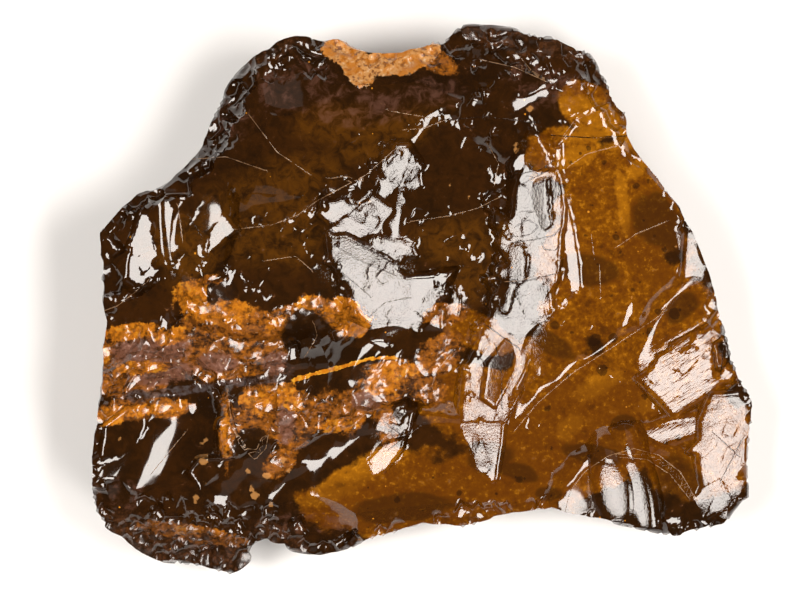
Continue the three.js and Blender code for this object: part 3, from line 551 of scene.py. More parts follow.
# Hairlines: pale cracks and scratches, dark ones, and orange veins.
HAIRLINES = {
    "pale": [
        ((-16.3, 6.1), (-13, 6.5), (-10.7, 7.4), (-9.1, 8.6), (-4.8, 10.9), (-2.4, 13.1)),
        ((22.6, 1.2), (20.6, -1.4), (17, -3.8), (13, -6.4), (10, -9), (8.1, -11.3)),
        ((-3, 16.4), (0.4, 15.8)), ((-1.8, 14.7), (0.2, 14.9), (2, 15.6)),
        ((8.1, 21.5), (9.5, 19.9), (11.4, 18.8)), ((4.9, 20.9), (8, 20.2), (10.7, 19)),
        ((-1.1, 6.8), (2.4, 7.3), (4.9, 8), (6.6, 8.9)), ((17.8, 13.6), (14.3, 12.7), (12.7, 11.6)),
        ((21.2, 6.8), (18.5, 5.7), (16.9, 4.6)), ((7.3, 1.6), (8.6, 1.7), (10, 2.2)),
        ((-27.8, -1), (-26.4, -0.5), (-25, 0.6), (-23.7, 1.7)),
        ((-8.1, 10.5), (-6.6, 10.7), (-5.2, 10.3)), ((1.2, -8.6), (0.8, -7.5), (1.2, -6.2), (2.7, -4.4)),
        ((-15, 16), (-12.6, 12.8), (-9.8, 10.9)), ((-21.2, 8.2), (-21, 6.8), (-20.8, 5.2)),
        ((-9.4, -2), (-9.1, -3.1), (-10.1, -4.8)), ((-20.6, 12.2), (-17, 12.4), (-13.6, 11.2)),
        ((12.2, 14.2), (13.2, 15.6), (14.6, 16.2)), ((-23.5, -15), (-20.5, -11.4)),
        ((15.5, 0.4), (15.4, 2.9)), ((14.9, 3.7), (14.7, 5.5)),
        ((-16.9, -7.9), (-16.6, -10.5), (-15.9, -12.5), (-14.6, -13.9), (-13.6, -12.9), (-13.3, -11.2)),
        ((-16, -11.6), (-15.2, -12.9), (-14.4, -13), (-14, -12)),
        ((12.4, -18.6), (12.9, -16.6), (14.2, -14.9), (16.2, -13.6), (18.4, -12.95),
         (20.6, -13.5), (22.5, -15), (24, -17.6)),
        ((17, -13.7), (19.6, -13.9), (21.6, -15.2), (23.2, -17.2)),
        ((-6.2, -11), (-4.6, -9.6), (-3.4, -9.4)), ((5.6, 13.6), (6.6, 11.8), (6.2, 10)),
        ((-13.6, 3.4), (-11, 3.8), (-9.6, 2.6)),
    ],
    "dark": [
        ((2, 15.6), (5.4, 15.9), (9.9, 15.4)), ((11.1, 14.3), (14.6, 14.1), (18, 14.3)),
        ((-6.8, 2.2), (-5.8, 1.4), (-4.6, 0.4)), ((-5.8, 5.1), (-3.6, 3.8), (-1, 2.4)),
        ((-6.2, 3.9), (-4.4, 3), (-2.5, 2.2)), ((-7.4, 4.6), (-5, 3.2)),
        ((-16.7, -7.7), (-16.6, -9.6), (-16.1, -11.4)), ((0, -10.8), (-1.6, -12), (-2.9, -13)),
        ((-3, -10.9), (-2, -11.6)), ((26.4, -3.4), (26, -6.6)), ((25.4, -11.6), (27.6, -13.6)),
        ((26, -15.8), (28, -12)), ((-4.4, -1.2), (-3.2, -0.2), (-1.2, 0.2)),
        ((6.4, -4), (6.9, -6.6), (6.9, -9.4)), ((-20.2, 7.2), (-19.2, 5.6)), ((22, 8.6), (23.4, 6)),
        ((8.1, 6.4), (9.2, 7), (10.1, 6.4), (9.4, 5.7), (8.2, 5.5)),
        ((8, 5), (9.4, 5.2), (11.4, 5.6), (12.1, 6.4)),
        ((10.3, 5.2), (10.6, 4.4), (11.6, 4.3), (12.1, 5.1)), ((8.6, 11), (10.2, 11.3), (11.3, 12)),
        ((8.4, 9.9), (9.6, 10.6), (11, 11.3)), ((7.1, 1.9), (8.8, 1.6), (11.6, 2.3)),
        ((5.6, -2.2), (7.2, -3.4), (8.4, -4.2)),
    ],
    "vein": [
        ((-11.1, -6.9), (-9.1, -6.3), (-7, -5.8), (-4.6, -5.1), (-2.4, -5)),
    ],
}
LINE_SPAN = 0.9       # hairline attributes count no further than this
SPECK_SPAN = 0.6      # and specks no further than this
PATCH_WANDER = 0.42   # how far a patch's edge wanders, as a share of its half width
PATCH_LENGTH = 3.0    # over what length it does
PATCH_SLICE = 0.37    # keeps the patches' noise apart


def patch(name, x, y):
    """How far points lie in a named patch, 0 to 1, its edge broken up by noise."""
    inside = np.full(np.shape(x), -9.0)
    for centre_x, centre_y, long, wide, direction in PATCHES[name]:
        u, v = along_and_across(x, y, centre_x, centre_y, direction)
        inside = np.maximum(inside, 1 - np.hypot(u / long, v / wide))
    slice_at = sum(map(ord, name)) * PATCH_SLICE
    inside = inside + PATCH_WANDER * FINE.layers(x / PATCH_LENGTH, y / PATCH_LENGTH, 4, slice_at)
    soft = PATCH_SOFT.get(name, PATCH_EDGE)
    return smooth_step(-soft, soft, inside)


def specks(kind, x, y):
    """How far points lie inside the nearest speck of a kind, in millimetres, negative outside it."""
    inside = np.full(np.shape(x), -SPECK_SPAN)
    for centre_x, centre_y, radius in SPECKS[kind]:
        inside = np.maximum(inside, radius - np.hypot(x - centre_x, y - centre_y))
    return inside


def hairline_offsets(lines, x, y):
    """Signed offset from the nearest line, and the plain distance to it."""
    offset, distance = np.full(np.shape(x), LINE_SPAN), np.full(np.shape(x), LINE_SPAN)
    for line in lines:
        for (x0, y0), (x1, y1) in zip(line, line[1:]):
            near = np.flatnonzero((np.abs(x - (x0 + x1) / 2) < abs(x1 - x0) / 2 + LINE_SPAN)
                                  & (np.abs(y - (y0 + y1) / 2) < abs(y1 - y0) / 2 + LINE_SPAN))
            found, side = from_line(x[near], y[near], x0, y0, x1, y1)
            closer = found < distance[near]
            distance[near[closer]] = found[closer]
            offset[near[closer]] = (side * found)[closer]
    return offset, distance


# ---------------------------------------------------------------- the surface

RIM_ROUGH = 0.20      # how far the edge is nibbled inward
NIBBLE_LENGTH = 1.3   # over what length
CRUST_ROUGH = 0.26    # height of the crust's roughness
GLASS_ROUGH = 0.03    # height of the slow swell of the glassy faces
WALL = 9000           # the number that the rim's wall has among the scars
UNDERSIDE = 2 * WALL  # added to the numbers of the underside's scars and wall
SCOOPED = 4 * WALL    # where the numbers of the wall's scoops start
UNKNOWN = -9          # stands for a scar that a triangle's corners don't tell
EDGE_SHARE = 0.55     # how high the outermost line of the wall lies between the two faces
# How steep the wall is above and below that line: on average, how much that varies, over what
# length, the slice of the noise, and the least.
UPPER_WALL = (7, 4, 2.6, 8.0, 3)
LOWER_WALL = (4, 2.6, 3.4, 12.0, 1.5)


def edge_distance(x, y):
    """Distance inside the lump's edge, negative outside it."""
    best = np.full(np.shape(x), np.inf)
    inside = np.zeros(np.shape(x), bool)
    for (x0, y0), (x1, y1) in sides(EDGE):
        best = np.minimum(best, from_line(x, y, x0, y0, x1, y1)[0])
        if y0 != y1:
            inside ^= ((y0 > y) != (y1 > y)) & (x < x0 + (y - y0) / (y1 - y0) * (x1 - x0))
    nibble = RIM_ROUGH * (0.5 + 0.5 * FINE.layers(x / NIBBLE_LENGTH, y / NIBBLE_LENGTH, 2, 4.0))
    return np.where(inside, best, -best) - np.clip(nibble, 0, 2 * RIM_ROUGH)


def lowest(scars, x, y, start):
    """The level that the scars leave at points, and the number of the one that sets it."""
    level = np.full(np.shape(x), start)
    chosen = np.full(np.shape(x), -1)
    side, swell = scars[0].side, Swell(x, y)
    for number, scar in enumerate(scars):
        near = np.flatnonzero(scar.near(x, y))
        if not len(near):
            continue
        found = scar.level(x[near], y[near], swell.at(near))
        better = side * found < side * level[near]
        place = near[better]
        level.flat[place] = found[better]
        chosen.flat[place] = number
    return level, chosen


def level_at(scars, x, y, start=BLANK_HEIGHT):
    """The same at one point."""
    level, chosen = lowest(scars, np.array([x]), np.array([y]), start)
    return level[0], chosen[0]


def tilt_of(across_x, across_y):
    """Where a slope falls and how much, in degrees, from its rise along x and y."""
    falls = math.degrees(math.atan2(-across_y, -across_x))
    return falls, math.degrees(math.atan(math.hypot(across_x, across_y)))


def angular(rng, reach):
    """Corners of a splinter's outline: a stretched, uneven polygon round its middle."""
    x, y, long, wide, direction = reach
    count = rng.integers(4, 7)
    start = rng.uniform(0, 2 * math.pi, 1)
    places = np.arange(count) + rng.uniform(-0.25, 0.25, count)
    return [turned_point(x, y, long * math.cos(step), wide * math.sin(step), direction)
            for step in np.sort(start + places * 2 * math.pi / count)]


CHIP_LIP = 0.12


def chip(rng, x, y, level, size, side=1, facing=None, dips=(0, 30)):
    """A small chip scar with its middle a little under the surface."""
    long = size * rng.uniform(0.7, 1.4)
    wide = size * rng.uniform(0.4, 0.9)
    turned = rng.uniform(0, 360) if facing is None else facing + rng.normal(0, 35)
    dip = rng.uniform(*dips)
    sunk = level - side * size * rng.uniform(0.02, 0.16)
    grain = rng.uniform(0, 180)
    bow = (size * rng.uniform(3, 9), size * rng.uniform(2, 6), grain)
    reach = (x, y, long, wide, grain)
    return Scar((x, y, sunk), (turned, dip), bow, reach, CHIP_LIP, side=side, corners=angular(rng, reach))


# Chips spread over patches: the patch, how many, their sizes and dips.
SCATTERED = [
    ("rust", 150, (0.3, 1.1), (0, 11)), ("chipped", 300, (0.25, 1), (0, 30)),
    ("tan", 26, (0.4, 0.9), (0, 18)),
]
TRIES = 27            # places tried for each chip
HALF_LENGTH = 29      # they lie within these of the middle
HALF_WIDTH = 24
FROM_EDGE = 0.25      # and this far inside the edge


def scattered_chips(face, rng, name, count, sizes, dips):
    """Chips spread over a named patch, off the frosted facets and the clear windows."""
    xs = rng.uniform(-HALF_LENGTH, HALF_LENGTH, TRIES * count)
    ys = rng.uniform(-HALF_WIDTH, HALF_WIDTH, TRIES * count)
    open_place = (patch(name, xs, ys) > 0.5) & (patch("frost", xs, ys) + patch("window", xs, ys) < 0.3)
    keep = np.flatnonzero(open_place & (edge_distance(xs, ys) > FROM_EDGE))[:count]
    level, _ = lowest(face, xs[keep], ys[keep], BLANK_HEIGHT)
    return [chip(rng, x, y, z, rng.uniform(*sizes), dips=dips) for x, y, z in zip(xs[keep], ys[keep], level)]


# Scars whose floor is broken into flat flakes: how many, their length, how much they tilt, and the
# direction they run in.
FLAKED = {
    "patch": (30, (0.5, 1.7), 3, 75), "patch_low": (22, (0.5, 1.7), 3, 75),
    "small_patch": (8, (0.5, 1.2), 4, 20), "band": (24, (0.7, 2.4), 2.2, 82),
    "band_mid": (22, (0.7, 2.8), 2.2, 80), "band_low": (22, (0.6, 2.4), 2.2, 72),
    "band_end": (10, (0.5, 1.6), 2.2, 98), "tongue": (12, (0.5, 1.4), 5, 20),
    "lobe": (14, (0.5, 1.2), 5, 60), "slant_facet": (16, (0.8, 2.6), 2.6, 33),
    "tall_facet": (10, (1, 2.6), 2.4, 62), "left_bright": (16, (0.6, 1.6), 4, 80),
    "left_top": (8, (0.5, 1.4), 5, 80), "shield": (8, (0.5, 1.4), 4, 60),
    "hook_patch": (16, (0.5, 1.3), 5, 60), "lobes": (12, (0.5, 1.4), 5, 70),
    "upper": (12, (0.6, 1.6), 5, 30), "middle": (20, (0.5, 1.6), 6, 70),
    "right_dark": (20, (0.5, 1.6), 8, 80), "rim_facet": (8, (0.5, 1.2), 5, 80),
    "wedge": (10, (0.5, 1.4), 6, 30), "strip": (8, (0.4, 1), 6, 80), "flank": (10, (0.5, 1.5), 7, 60),
    "centre_low": (10, (0.5, 1.4), 6, 60), "low_right": (12, (0.6, 1.8), 4, 40),
    "amber_low": (12, (0.6, 1.8), 4, 30), "amber_top": (10, (0.6, 1.6), 6, 20),
}
FLAKE_SINK = (0.004, 0.02)
FLAKE_LIP = 0.06
STEEPEST_FLAKE = 30.0
SLOPE_STEP = 0.1      # a floor's slope is taken between points this far to each side


def flakes(face, names, rng):
    """Flat flakes broken out of the floors of some scars, nearly level with them."""
    made = []
    for name, (count, lengths, tilt, grain) in FLAKED.items():
        scar = face[names.index(name)]
        centre_x, centre_y, long, wide, direction = scar.reach
        for _ in range(count):
            out, around = math.sqrt(rng.uniform(0, 0.95)), rng.uniform(0, 2 * math.pi)
            u, v = out * long * math.cos(around), out * wide * math.sin(around)
            x, y = turned_point(centre_x, centre_y, u, v + scar.bend * u * u, direction)
            length, slender, aimed = rng.uniform(*lengths), rng.uniform(0.25, 0.7), rng.normal(grain, 18)
            leans, way = math.tan(math.radians(rng.uniform(0.2, 1) * tilt)), rng.uniform(0, 2 * math.pi)
            sink, bows = rng.uniform(*FLAKE_SINK), rng.uniform(20, 80, 2)
            level, chosen = level_at(face, x, y)
            if chosen != names.index(name):
                continue
            near = scar.level(np.array([x + SLOPE_STEP, x - SLOPE_STEP, x, x]),
                              np.array([y, y, y + SLOPE_STEP, y - SLOPE_STEP]))
            slope = tilt_of((near[0] - near[1]) / (2 * SLOPE_STEP) + leans * math.cos(way),
                            (near[2] - near[3]) / (2 * SLOPE_STEP) + leans * math.sin(way))
            if slope[1] > STEEPEST_FLAKE:
                continue
            reach = (x, y, length, length * slender, aimed)
            made.append(Scar((x, y, level - sink), slope, (*bows, aimed), reach, FLAKE_LIP,
                             corners=angular(rng, reach)))
    return made


# Lines along which the break is splintered: ((x, y) ...), spacing, chip size.
SPLINTERED = [
    (((-16.3, 6.1), (-13, 6.5), (-9.5, 7.8), (-6, 10.2), (-2.7, 13.1)), 0.8, 0.5),
    (((-2, 14.9), (2.5, 15.8), (9.5, 15.2)), 0.9, 0.5),
    (((7.4, 7), (6.6, 0.5), (4.6, -4.4), (3.6, -9.5)), 1, 0.45),
    (((-8.2, 6), (-7.2, 2.2), (-5.4, -2)), 0.9, 0.45),
    (((1.5, 2), (2.4, -1), (1.8, -4)), 0.9, 0.5),
    (((-27.5, -1), (-24.5, 1.3), (-20.4, 2.8), (-16.5, 2), (-13, -1.2), (-6.5, 0.8)), 0.9, 0.5),
    (((-27, -8.6), (-20, -8), (-16, -9), (-15.2, -13)), 0.8, 0.5),
    (((-26, -20.2), (-22, -20.4), (-18, -19.8), (-14.6, -19.6)), 0.7, 0.55),
]


def splinter_chips(face, rng):
    """Small chips on both sides of the splintered lines."""
    chips = []
    for path, spacing, size in SPLINTERED:
        for (x0, y0), (x1, y1) in zip(path, path[1:]):
            steps = max(1, round(math.hypot(x1 - x0, y1 - y0) / spacing))
            for share in (np.arange(steps) + rng.uniform(0.2, 0.8, steps)) / steps:
                x = x0 + share * (x1 - x0) + rng.normal(0, 0.3)
                y = y0 + share * (y1 - y0) + rng.normal(0, 0.3)
                level, _ = level_at(face, x, y)
                chips.append(chip(rng, x, y, level, size * rng.uniform(0.7, 1.3), dips=(0, 24)))
    return chips


RIM_CHIP_SPACING = 1.4
UNDER_CHIP_SPACING = 3.0
RIM_CHIP_SINK = 0.05


def rim_chips(sheet, rng, side, spacing, start):
    """Small scars all along the edge, falling outward."""
    chips = []
    for (x0, y0), (x1, y1) in sides(EDGE):
        length = math.hypot(x1 - x0, y1 - y0)
        for _ in range(rng.poisson(length / spacing)):
            share = rng.uniform()
            inward = rng.uniform(0.1, 0.9)
            out_x, out_y = -(y1 - y0) / length, (x1 - x0) / length
            x = x0 + share * (x1 - x0) - out_x * inward
            y = y0 + share * (y1 - y0) - out_y * inward
            level, _ = level_at(sheet, x, y, start)
            facing = math.degrees(math.atan2(out_y, out_x))
            size = rng.uniform(0.5, 1.3)
            chips.append(chip(rng, x, y, level - side * RIM_CHIP_SINK, size, side, facing, (5, 45)))
    return chips


def small_facets(face):
    """Flat facets of known outline, sunk a little into the face."""
    facets = []
    for (x, y), slope, corners, *deeper in FACETS:
        level, _ = level_at(face, x, y)
        sink = deeper[0] if deeper else FACET_SINK
        ring = np.array(corners)
        middle = ring.mean(axis=0)
        far = np.linalg.norm(ring - middle, axis=1).max()
        facets.append(Scar((x, y, level - sink), slope, FACET_BOW, (*middle, far, far, 0), FACET_LIP,
                           wobble=FACET_WOBBLE, corners=corners))
    return facets


def broken_faces():
    """All the scars of the upper face and of the underside, the small ones cut into the large."""
    rng = np.random.default_rng(7)
    face, under = scars_from(FACE_SCARS, 1), scars_from(UNDER_SCARS, -1)
    face += flakes(face, list(FACE_SCARS), rng)
    face += small_facets(face)
    chips = []
    for name, count, sizes, dips in SCATTERED:
        chips += scattered_chips(face, rng, name, count, sizes, dips)
    chips += splinter_chips(face, rng)
    chips += rim_chips(face, rng, 1, RIM_CHIP_SPACING, BLANK_HEIGHT)
    under += rim_chips(under, rng, -1, UNDER_CHIP_SPACING, 0.0)
    return face + chips, under


face_scars, under_scars = broken_faces()


def wall_steepness(x, y, average, varies, length, slice_at, least):
    """The rise of the rim's wall for each millimetre inward."""
    return np.maximum(average + varies * FINE.layers(x / length, y / length, 2, slice_at), least)


class Sheets:
    """Levels of the upper face and the underside, and the number of the scar at each point."""

    def __init__(self, x, y):
        shape = np.shape(x)
        x, y = np.ravel(x), np.ravel(y)
        top, top_scar = lowest(face_scars, x, y, BLANK_HEIGHT)
        bottom, bottom_scar = lowest(under_scars, x, y, 0.0)
        inset = edge_distance(x, y)
        edge_level = EDGE_SHARE * top + (1 - EDGE_SHARE) * bottom
        over_wall = edge_level + wall_steepness(x, y, *UPPER_WALL) * inset - top
        under_wall = bottom - edge_level + wall_steepness(x, y, *LOWER_WALL) * inset
        top_scar[over_wall < 0] = WALL
        bottom_scar[under_wall < 0] = WALL
        top, bottom = top + np.minimum(over_wall, 0), bottom - np.minimum(under_wall, 0)
        values = (top, bottom, top_scar, bottom_scar, over_wall, under_wall, inset)
        (self.top, self.bottom, self.top_scar, self.bottom_scar, self.over_wall, self.under_wall,
         self.inset) = [v.reshape(shape) for v in values]


THIN_CRUST = 0.3      # the rust and the rim are this much as rough as the tan patch
RIDGE_DIRECTION = 6
RIDGE_LENGTH = 2.6    # the crust's ridges
RIDGE_WIDTH = 1.2
GRAIN_SIZE = 0.8      # and its grain
CRUST_LEVEL = 0.35    # the roughness that leaves the crust level with the glass
GLASS_LENGTH = 5.5    # the glass's swell, and a shorter, weaker one
SHORT_LENGTH = 1.7


def relief(x, y):
    """Height added to the upper face: the crust's roughness and the slow swell of the glass."""
    thin_crust = THIN_CRUST * np.maximum(patch("rust", x, y), patch("rim", x, y))
    crust = np.maximum(thin_crust, patch("tan", x, y))
    along, across = along_and_across(x, y, 0, 0, RIDGE_DIRECTION)
    ridged = 0.5 - np.abs(FINE.layers(along / RIDGE_LENGTH, across / RIDGE_WIDTH, 4, 31.0))
    rough = ridged + 0.6 * FINE.layers(x / GRAIN_SIZE, y / GRAIN_SIZE, 2, 37.0)
    swell = SLOW(x / GLASS_LENGTH, y / GLASS_LENGTH, 2.0)
    swell = swell + 0.3 * SLOW(x / SHORT_LENGTH, y / SHORT_LENGTH, 5.0)
    return CRUST_ROUGH * crust * (rough - CRUST_LEVEL) + GLASS_ROUGH * swell


def level_of(scars, number, x, y):
    """The surface of one scar, or of the blank where no scar has cut it."""
    if number < 0:
        return np.full(np.shape(x), 0.0 if scars[0].side < 0 else BLANK_HEIGHT)
    return scars[number].level(x, y)


def nearest_changes(x, differs, share_of):
    """Moves of grid points along the grid onto the nearest change between their neighbours."""
    move = np.zeros(x.shape + (2,))
    size = np.full(x.shape, np.inf)
    for axis in (0, 1):
        near = tuple(slice(None, -1) if k == axis else slice(None) for k in (0, 1))
        far = tuple(slice(1, None) if k == axis else slice(None) for k in (0, 1))
        i, j = np.nonzero(differs(near, far))
        share = share_of(near, far, i, j)
        for a, b, part in zip(i, j, share):
            if part >= 0.5:
                a, b, part = (a + 1, b, part - 1) if axis == 0 else (a, b + 1, part - 1)
            if abs(part) * CELL < size[a, b]:
                size[a, b] = abs(part) * CELL
                move[a, b] = (part * CELL, 0) if axis == 0 else (0, part * CELL)
    return move, size < np.inf


def ridge_share(scars, chosen, wall_gap, x, y):
    """How far along a grid edge the surfaces of its two ends' scars cross."""
    def share_of(near, far, i, j):
        first, second = chosen[near][i, j], chosen[far][i, j]
        walled = (first == WALL) | (second == WALL)
        gaps = []
        for part in (near, far):
            at_x, at_y = x[part][i, j], y[part][i, j]
            gap = np.where(walled, wall_gap[part][i, j], 0)
            for which, sign in ((first, 1), (second, -1)):
                for number in np.unique(which[~walled]):
                    mine = (which == number) & ~walled
                    gap[mine] += sign * level_of(scars, number, at_x[mine], at_y[mine])
            gaps.append(gap)
        spread = gaps[0] - gaps[1]
        return np.clip(gaps[0] / np.where(np.abs(spread) < 1e-9, 1, spread), 0.01, 0.99)
    return share_of


class Layer:
    """One face's grid points, moved onto the outline and the ridges."""

    def __init__(self, x, y, scars, chosen, wall_gap, inside, on_edge, edge_move):
        move, on_ridge = nearest_changes(
            x, lambda near, far: (chosen[near] != chosen[far]) & inside[near] & inside[far],
            ridge_share(scars, chosen, wall_gap, x, y))
        self.scars, self.chosen, self.on_ridge = scars, chosen, on_ridge & ~on_edge
        moved = np.where(on_edge[..., None], edge_move, np.where(self.on_ridge[..., None], move, 0))
        self.x, self.y = x + moved[..., 0], y + moved[..., 1]


def stone_layers():
    """Which grid points are used, which lie on the outline, and the two faces' layers."""
    ring = np.array(EDGE)
    low, high = ring.min(axis=0) - 2 * CELL, ring.max(axis=0) + 2 * CELL
    x, y = np.meshgrid(np.arange(low[0], high[0], CELL), np.arange(low[1], high[1], CELL), indexing="ij")
    found = Sheets(x, y)
    inside = found.inset > 0
    edge_move, on_edge = nearest_changes(
        x, lambda near, far: inside[near] != inside[far],
        lambda near, far, i, j: found.inset[near][i, j] / (found.inset[near][i, j] - found.inset[far][i, j]))
    upper = Layer(x, y, face_scars, found.top_scar, found.over_wall, inside, on_edge, edge_move)
    lower = Layer(x, y, under_scars, found.bottom_scar, found.under_wall, inside, on_edge, edge_move)
    return inside | on_edge, on_edge, (upper, lower)


def cell_triangles(used, on_edge, on_ridge, chosen):
    """Two triangles a cell, cut so that ridges and the edge run along their sides."""
    rows, columns = used.shape
    number = np.arange(rows * columns).reshape(rows, columns)
    corners = [(slice(0, -1), slice(0, -1)), (slice(1, None), slice(0, -1)),
               (slice(1, None), slice(1, None)), (slice(0, -1), slice(1, None))]
    use, edge, free, scar, point = (
        np.stack([grid[c] for c in corners])
        for grid in (used, on_edge, ~on_edge & ~on_ridge, chosen, number))
    across = [free[k] & free[k + 2] & (scar[k] != scar[k + 2]) for k in (0, 1)]
    held = [~free[k] & ~free[k + 2] for k in (0, 1)]
    # cut 0 joins corners 0 and 2, cut 1 joins corners 1 and 3
    cut = np.where(across[0] | (held[1] & ~held[0] & ~across[1]), 1, 0)
    both_edge = [edge[k] & edge[k + 2] for k in (0, 1)]
    cut = np.where(both_edge[0], 1, np.where(both_edge[1], 0, cut))
    count = use.sum(axis=0)
    triangles = []
    full = (count == 4) & ~(edge.all(axis=0))
    for which, pair in ((0, ((0, 1, 2), (0, 2, 3))), (1, ((0, 1, 3), (1, 2, 3)))):
        cells = full & (cut == which)
        triangles += [np.stack([point[k][cells] for k in three], axis=1) for three in pair]
    for missing in range(4):
        three = [k for k in range(4) if k != missing]
        cells = (count == 3) & ~use[missing] & ~edge[three].all(axis=0)
        triangles.append(np.stack([point[k][cells] for k in three], axis=1))
    return np.concatenate(triangles)


def triangle_scars(triangles, layer, on_edge):
    """The scar that each triangle lies on."""
    held = (layer.on_ridge | on_edge).ravel()[triangles]
    found = np.where(held, UNKNOWN, layer.chosen.ravel()[triangles])
    label = found.max(axis=1)
    blind = label == UNKNOWN
    corners = triangles[blind]
    middle = Sheets(layer.x.ravel()[corners].mean(axis=1), layer.y.ravel()[corners].mean(axis=1))
    label[blind] = middle.top_scar if layer.scars is face_scars else middle.bottom_scar
    return label


def side_numbers(faces, count):
    """Each side of each triangle as one number, the same from both triangles that share it."""
    ends = np.sort(faces[:, [0, 1, 1, 2, 2, 0]].reshape(-1, 2), axis=1)
    names, place = np.unique(ends[:, 0] * count + ends[:, 1], return_inverse=True)
    return names, place.reshape(-1, 3)


def split_long_sides(points, faces, labels, longest):
    """Halves every side longer than a length, so that steep places get as many points as flat ones."""
    names, place = side_numbers(faces, len(points))
    first, second = points[names // len(points)], points[names % len(points)]
    split = np.linalg.norm(first - second, axis=1) > longest
    number = np.full(len(names), -1)
    number[split] = len(points) + np.arange(split.sum())
    points = np.concatenate([points, (first[split] + second[split]) / 2])
    middle = number[place]
    count = (middle >= 0).sum(axis=1)
    pieces, kept = [faces[count == 0]], [labels[count == 0]]

    def add(chosen, *corners):
        pieces.append(np.stack(corners, axis=1)[chosen])
        kept.append(labels[chosen])

    for turn in range(3):
        a, b, c = np.roll(faces, -turn, axis=1).T
        ab, bc, ca = np.roll(middle, -turn, axis=1).T
        one = (count == 1) & (ab >= 0)
        add(one, a, ab, c)
        add(one, ab, b, c)
        two = (count == 2) & (ca < 0)
        add(two, ab, b, bc)
        add(two, a, ab, bc)
        add(two, a, bc, c)
        add(count == 3, a, ab, ca)
    ab, bc, ca = middle.T
    add(count == 3, ab, bc, ca)
    return points, np.concatenate(pieces), np.concatenate(kept)


THINNEST = 0.05       # the upper face stays this far above the underside
LOWEST_GAP = 0.02     # and the underside this far below the upper face
RELIEF_FADE = (0.2, 1.0)    # how far inside the edge the upper face's relief begins and is full
REST_FADE = (0.0, 1.5)      # at what heights the underside's swell does: the resting face is flat
UNDER_ROUGH = 0.10    # height of that swell
UNDER_LENGTH = 2.4
SPLITS = 3            # how many times the long sides are halved
LONGEST_SIDE = 0.5    # a side longer than this is halved
SCOOP_SIZE = 1.5      # distance between the small scars on the wall
SCOOP_DEPTH = 0.30
SCOOPS = 650          # how many at most
SCOOP_STRETCH = (1, 1, 0.8)
INWARD_STEP = 0.3     # the way inward is found from points this far to each side


def scooped_wall(points, faces, labels):
    """Presses small bowls into the wall, and gives each its own label."""
    walled = np.isin(labels, (WALL, UNDERSIDE + WALL))
    whole = np.ones(len(points), bool)
    whole[faces[~walled]] = False
    mine = np.flatnonzero(whole)
    rng = np.random.default_rng(19)
    seeds = points[rng.choice(mine, min(len(mine), SCOOPS), replace=False)]
    sizes = rng.uniform(0.6, 1.4, len(seeds))
    stretch = np.array(SCOOP_STRETCH)

    def nearest(places):
        best, owner = np.full(len(places), np.inf), np.zeros(len(places), int)
        for number, (seed, size) in enumerate(zip(seeds * stretch, sizes)):
            near = np.linalg.norm(places * stretch - seed, axis=1) / size
            closer = near < best
            best[closer], owner[closer] = near[closer], number
        return best, owner

    far, _ = nearest(points[mine])
    x, y, _ = points[mine].T
    inward = np.stack([edge_distance(x + INWARD_STEP, y) - edge_distance(x - INWARD_STEP, y),
                       edge_distance(x, y + INWARD_STEP) - edge_distance(x, y - INWARD_STEP)], axis=1)
    inward /= np.maximum(np.linalg.norm(inward, axis=1), 1e-6)[:, None]
    depth = SCOOP_DEPTH * np.clip(1 - (far / SCOOP_SIZE) ** 2, 0, 1)
    points[mine, :2] += inward * depth[:, None]
    _, owner = nearest(points[faces[walled]].mean(axis=1))
    labels[walled] = SCOOPED + owner
    return points, labels


def stone_mesh():
    """Points, triangles and each triangle's scar: both faces, joined along the outline."""
    used, on_edge, layers = stone_layers()
    upper_layer, lower_layer = layers
    over = Sheets(upper_layer.x, upper_layer.y)
    under = Sheets(lower_layer.x, lower_layer.y)
    upper = over.top + relief(upper_layer.x, upper_layer.y) * smooth_step(*RELIEF_FADE, over.inset)
    upper = np.minimum(np.maximum(upper, over.bottom + THINNEST), TOP_LIMIT)
    middle = EDGE_SHARE * over.top + (1 - EDGE_SHARE) * over.bottom
    upper = np.where(on_edge, middle, upper)
    swell = UNDER_ROUGH * FINE.layers(lower_layer.x / UNDER_LENGTH, lower_layer.y / UNDER_LENGTH, 3, 51.0)
    lower = under.bottom + swell * smooth_step(*REST_FADE, under.bottom)
    lower = np.minimum(np.maximum(lower, 0.0), under.top - LOWEST_GAP)
    upper_points = np.stack([upper_layer.x, upper_layer.y, upper], axis=-1).reshape(-1, 3)
    lower_points = np.stack([lower_layer.x, lower_layer.y, lower], axis=-1).reshape(-1, 3)
    count = len(upper_points)
    edge_flat = on_edge.ravel()
    faces, labels = [], []
    for layer in layers:
        triangles = cell_triangles(used, on_edge, layer.on_ridge, layer.chosen)
        label = triangle_scars(triangles, layer, on_edge)
        if layer is lower_layer:
            triangles = np.where(edge_flat[triangles], triangles, triangles + count)[:, ::-1]
            label = label + UNDERSIDE
        faces.append(triangles)
        labels.append(label)
    points = np.concatenate([upper_points, lower_points])
    faces, labels = np.concatenate(faces), np.concatenate(labels)
    kept, packed = np.unique(faces, return_inverse=True)
    points, faces = points[kept], packed.reshape(-1, 3)
    for _ in range(SPLITS):
        points, faces, labels = split_long_sides(points, faces, labels, LONGEST_SIDE)
    points, labels = scooped_wall(points, faces, labels)
    return points, faces, labels


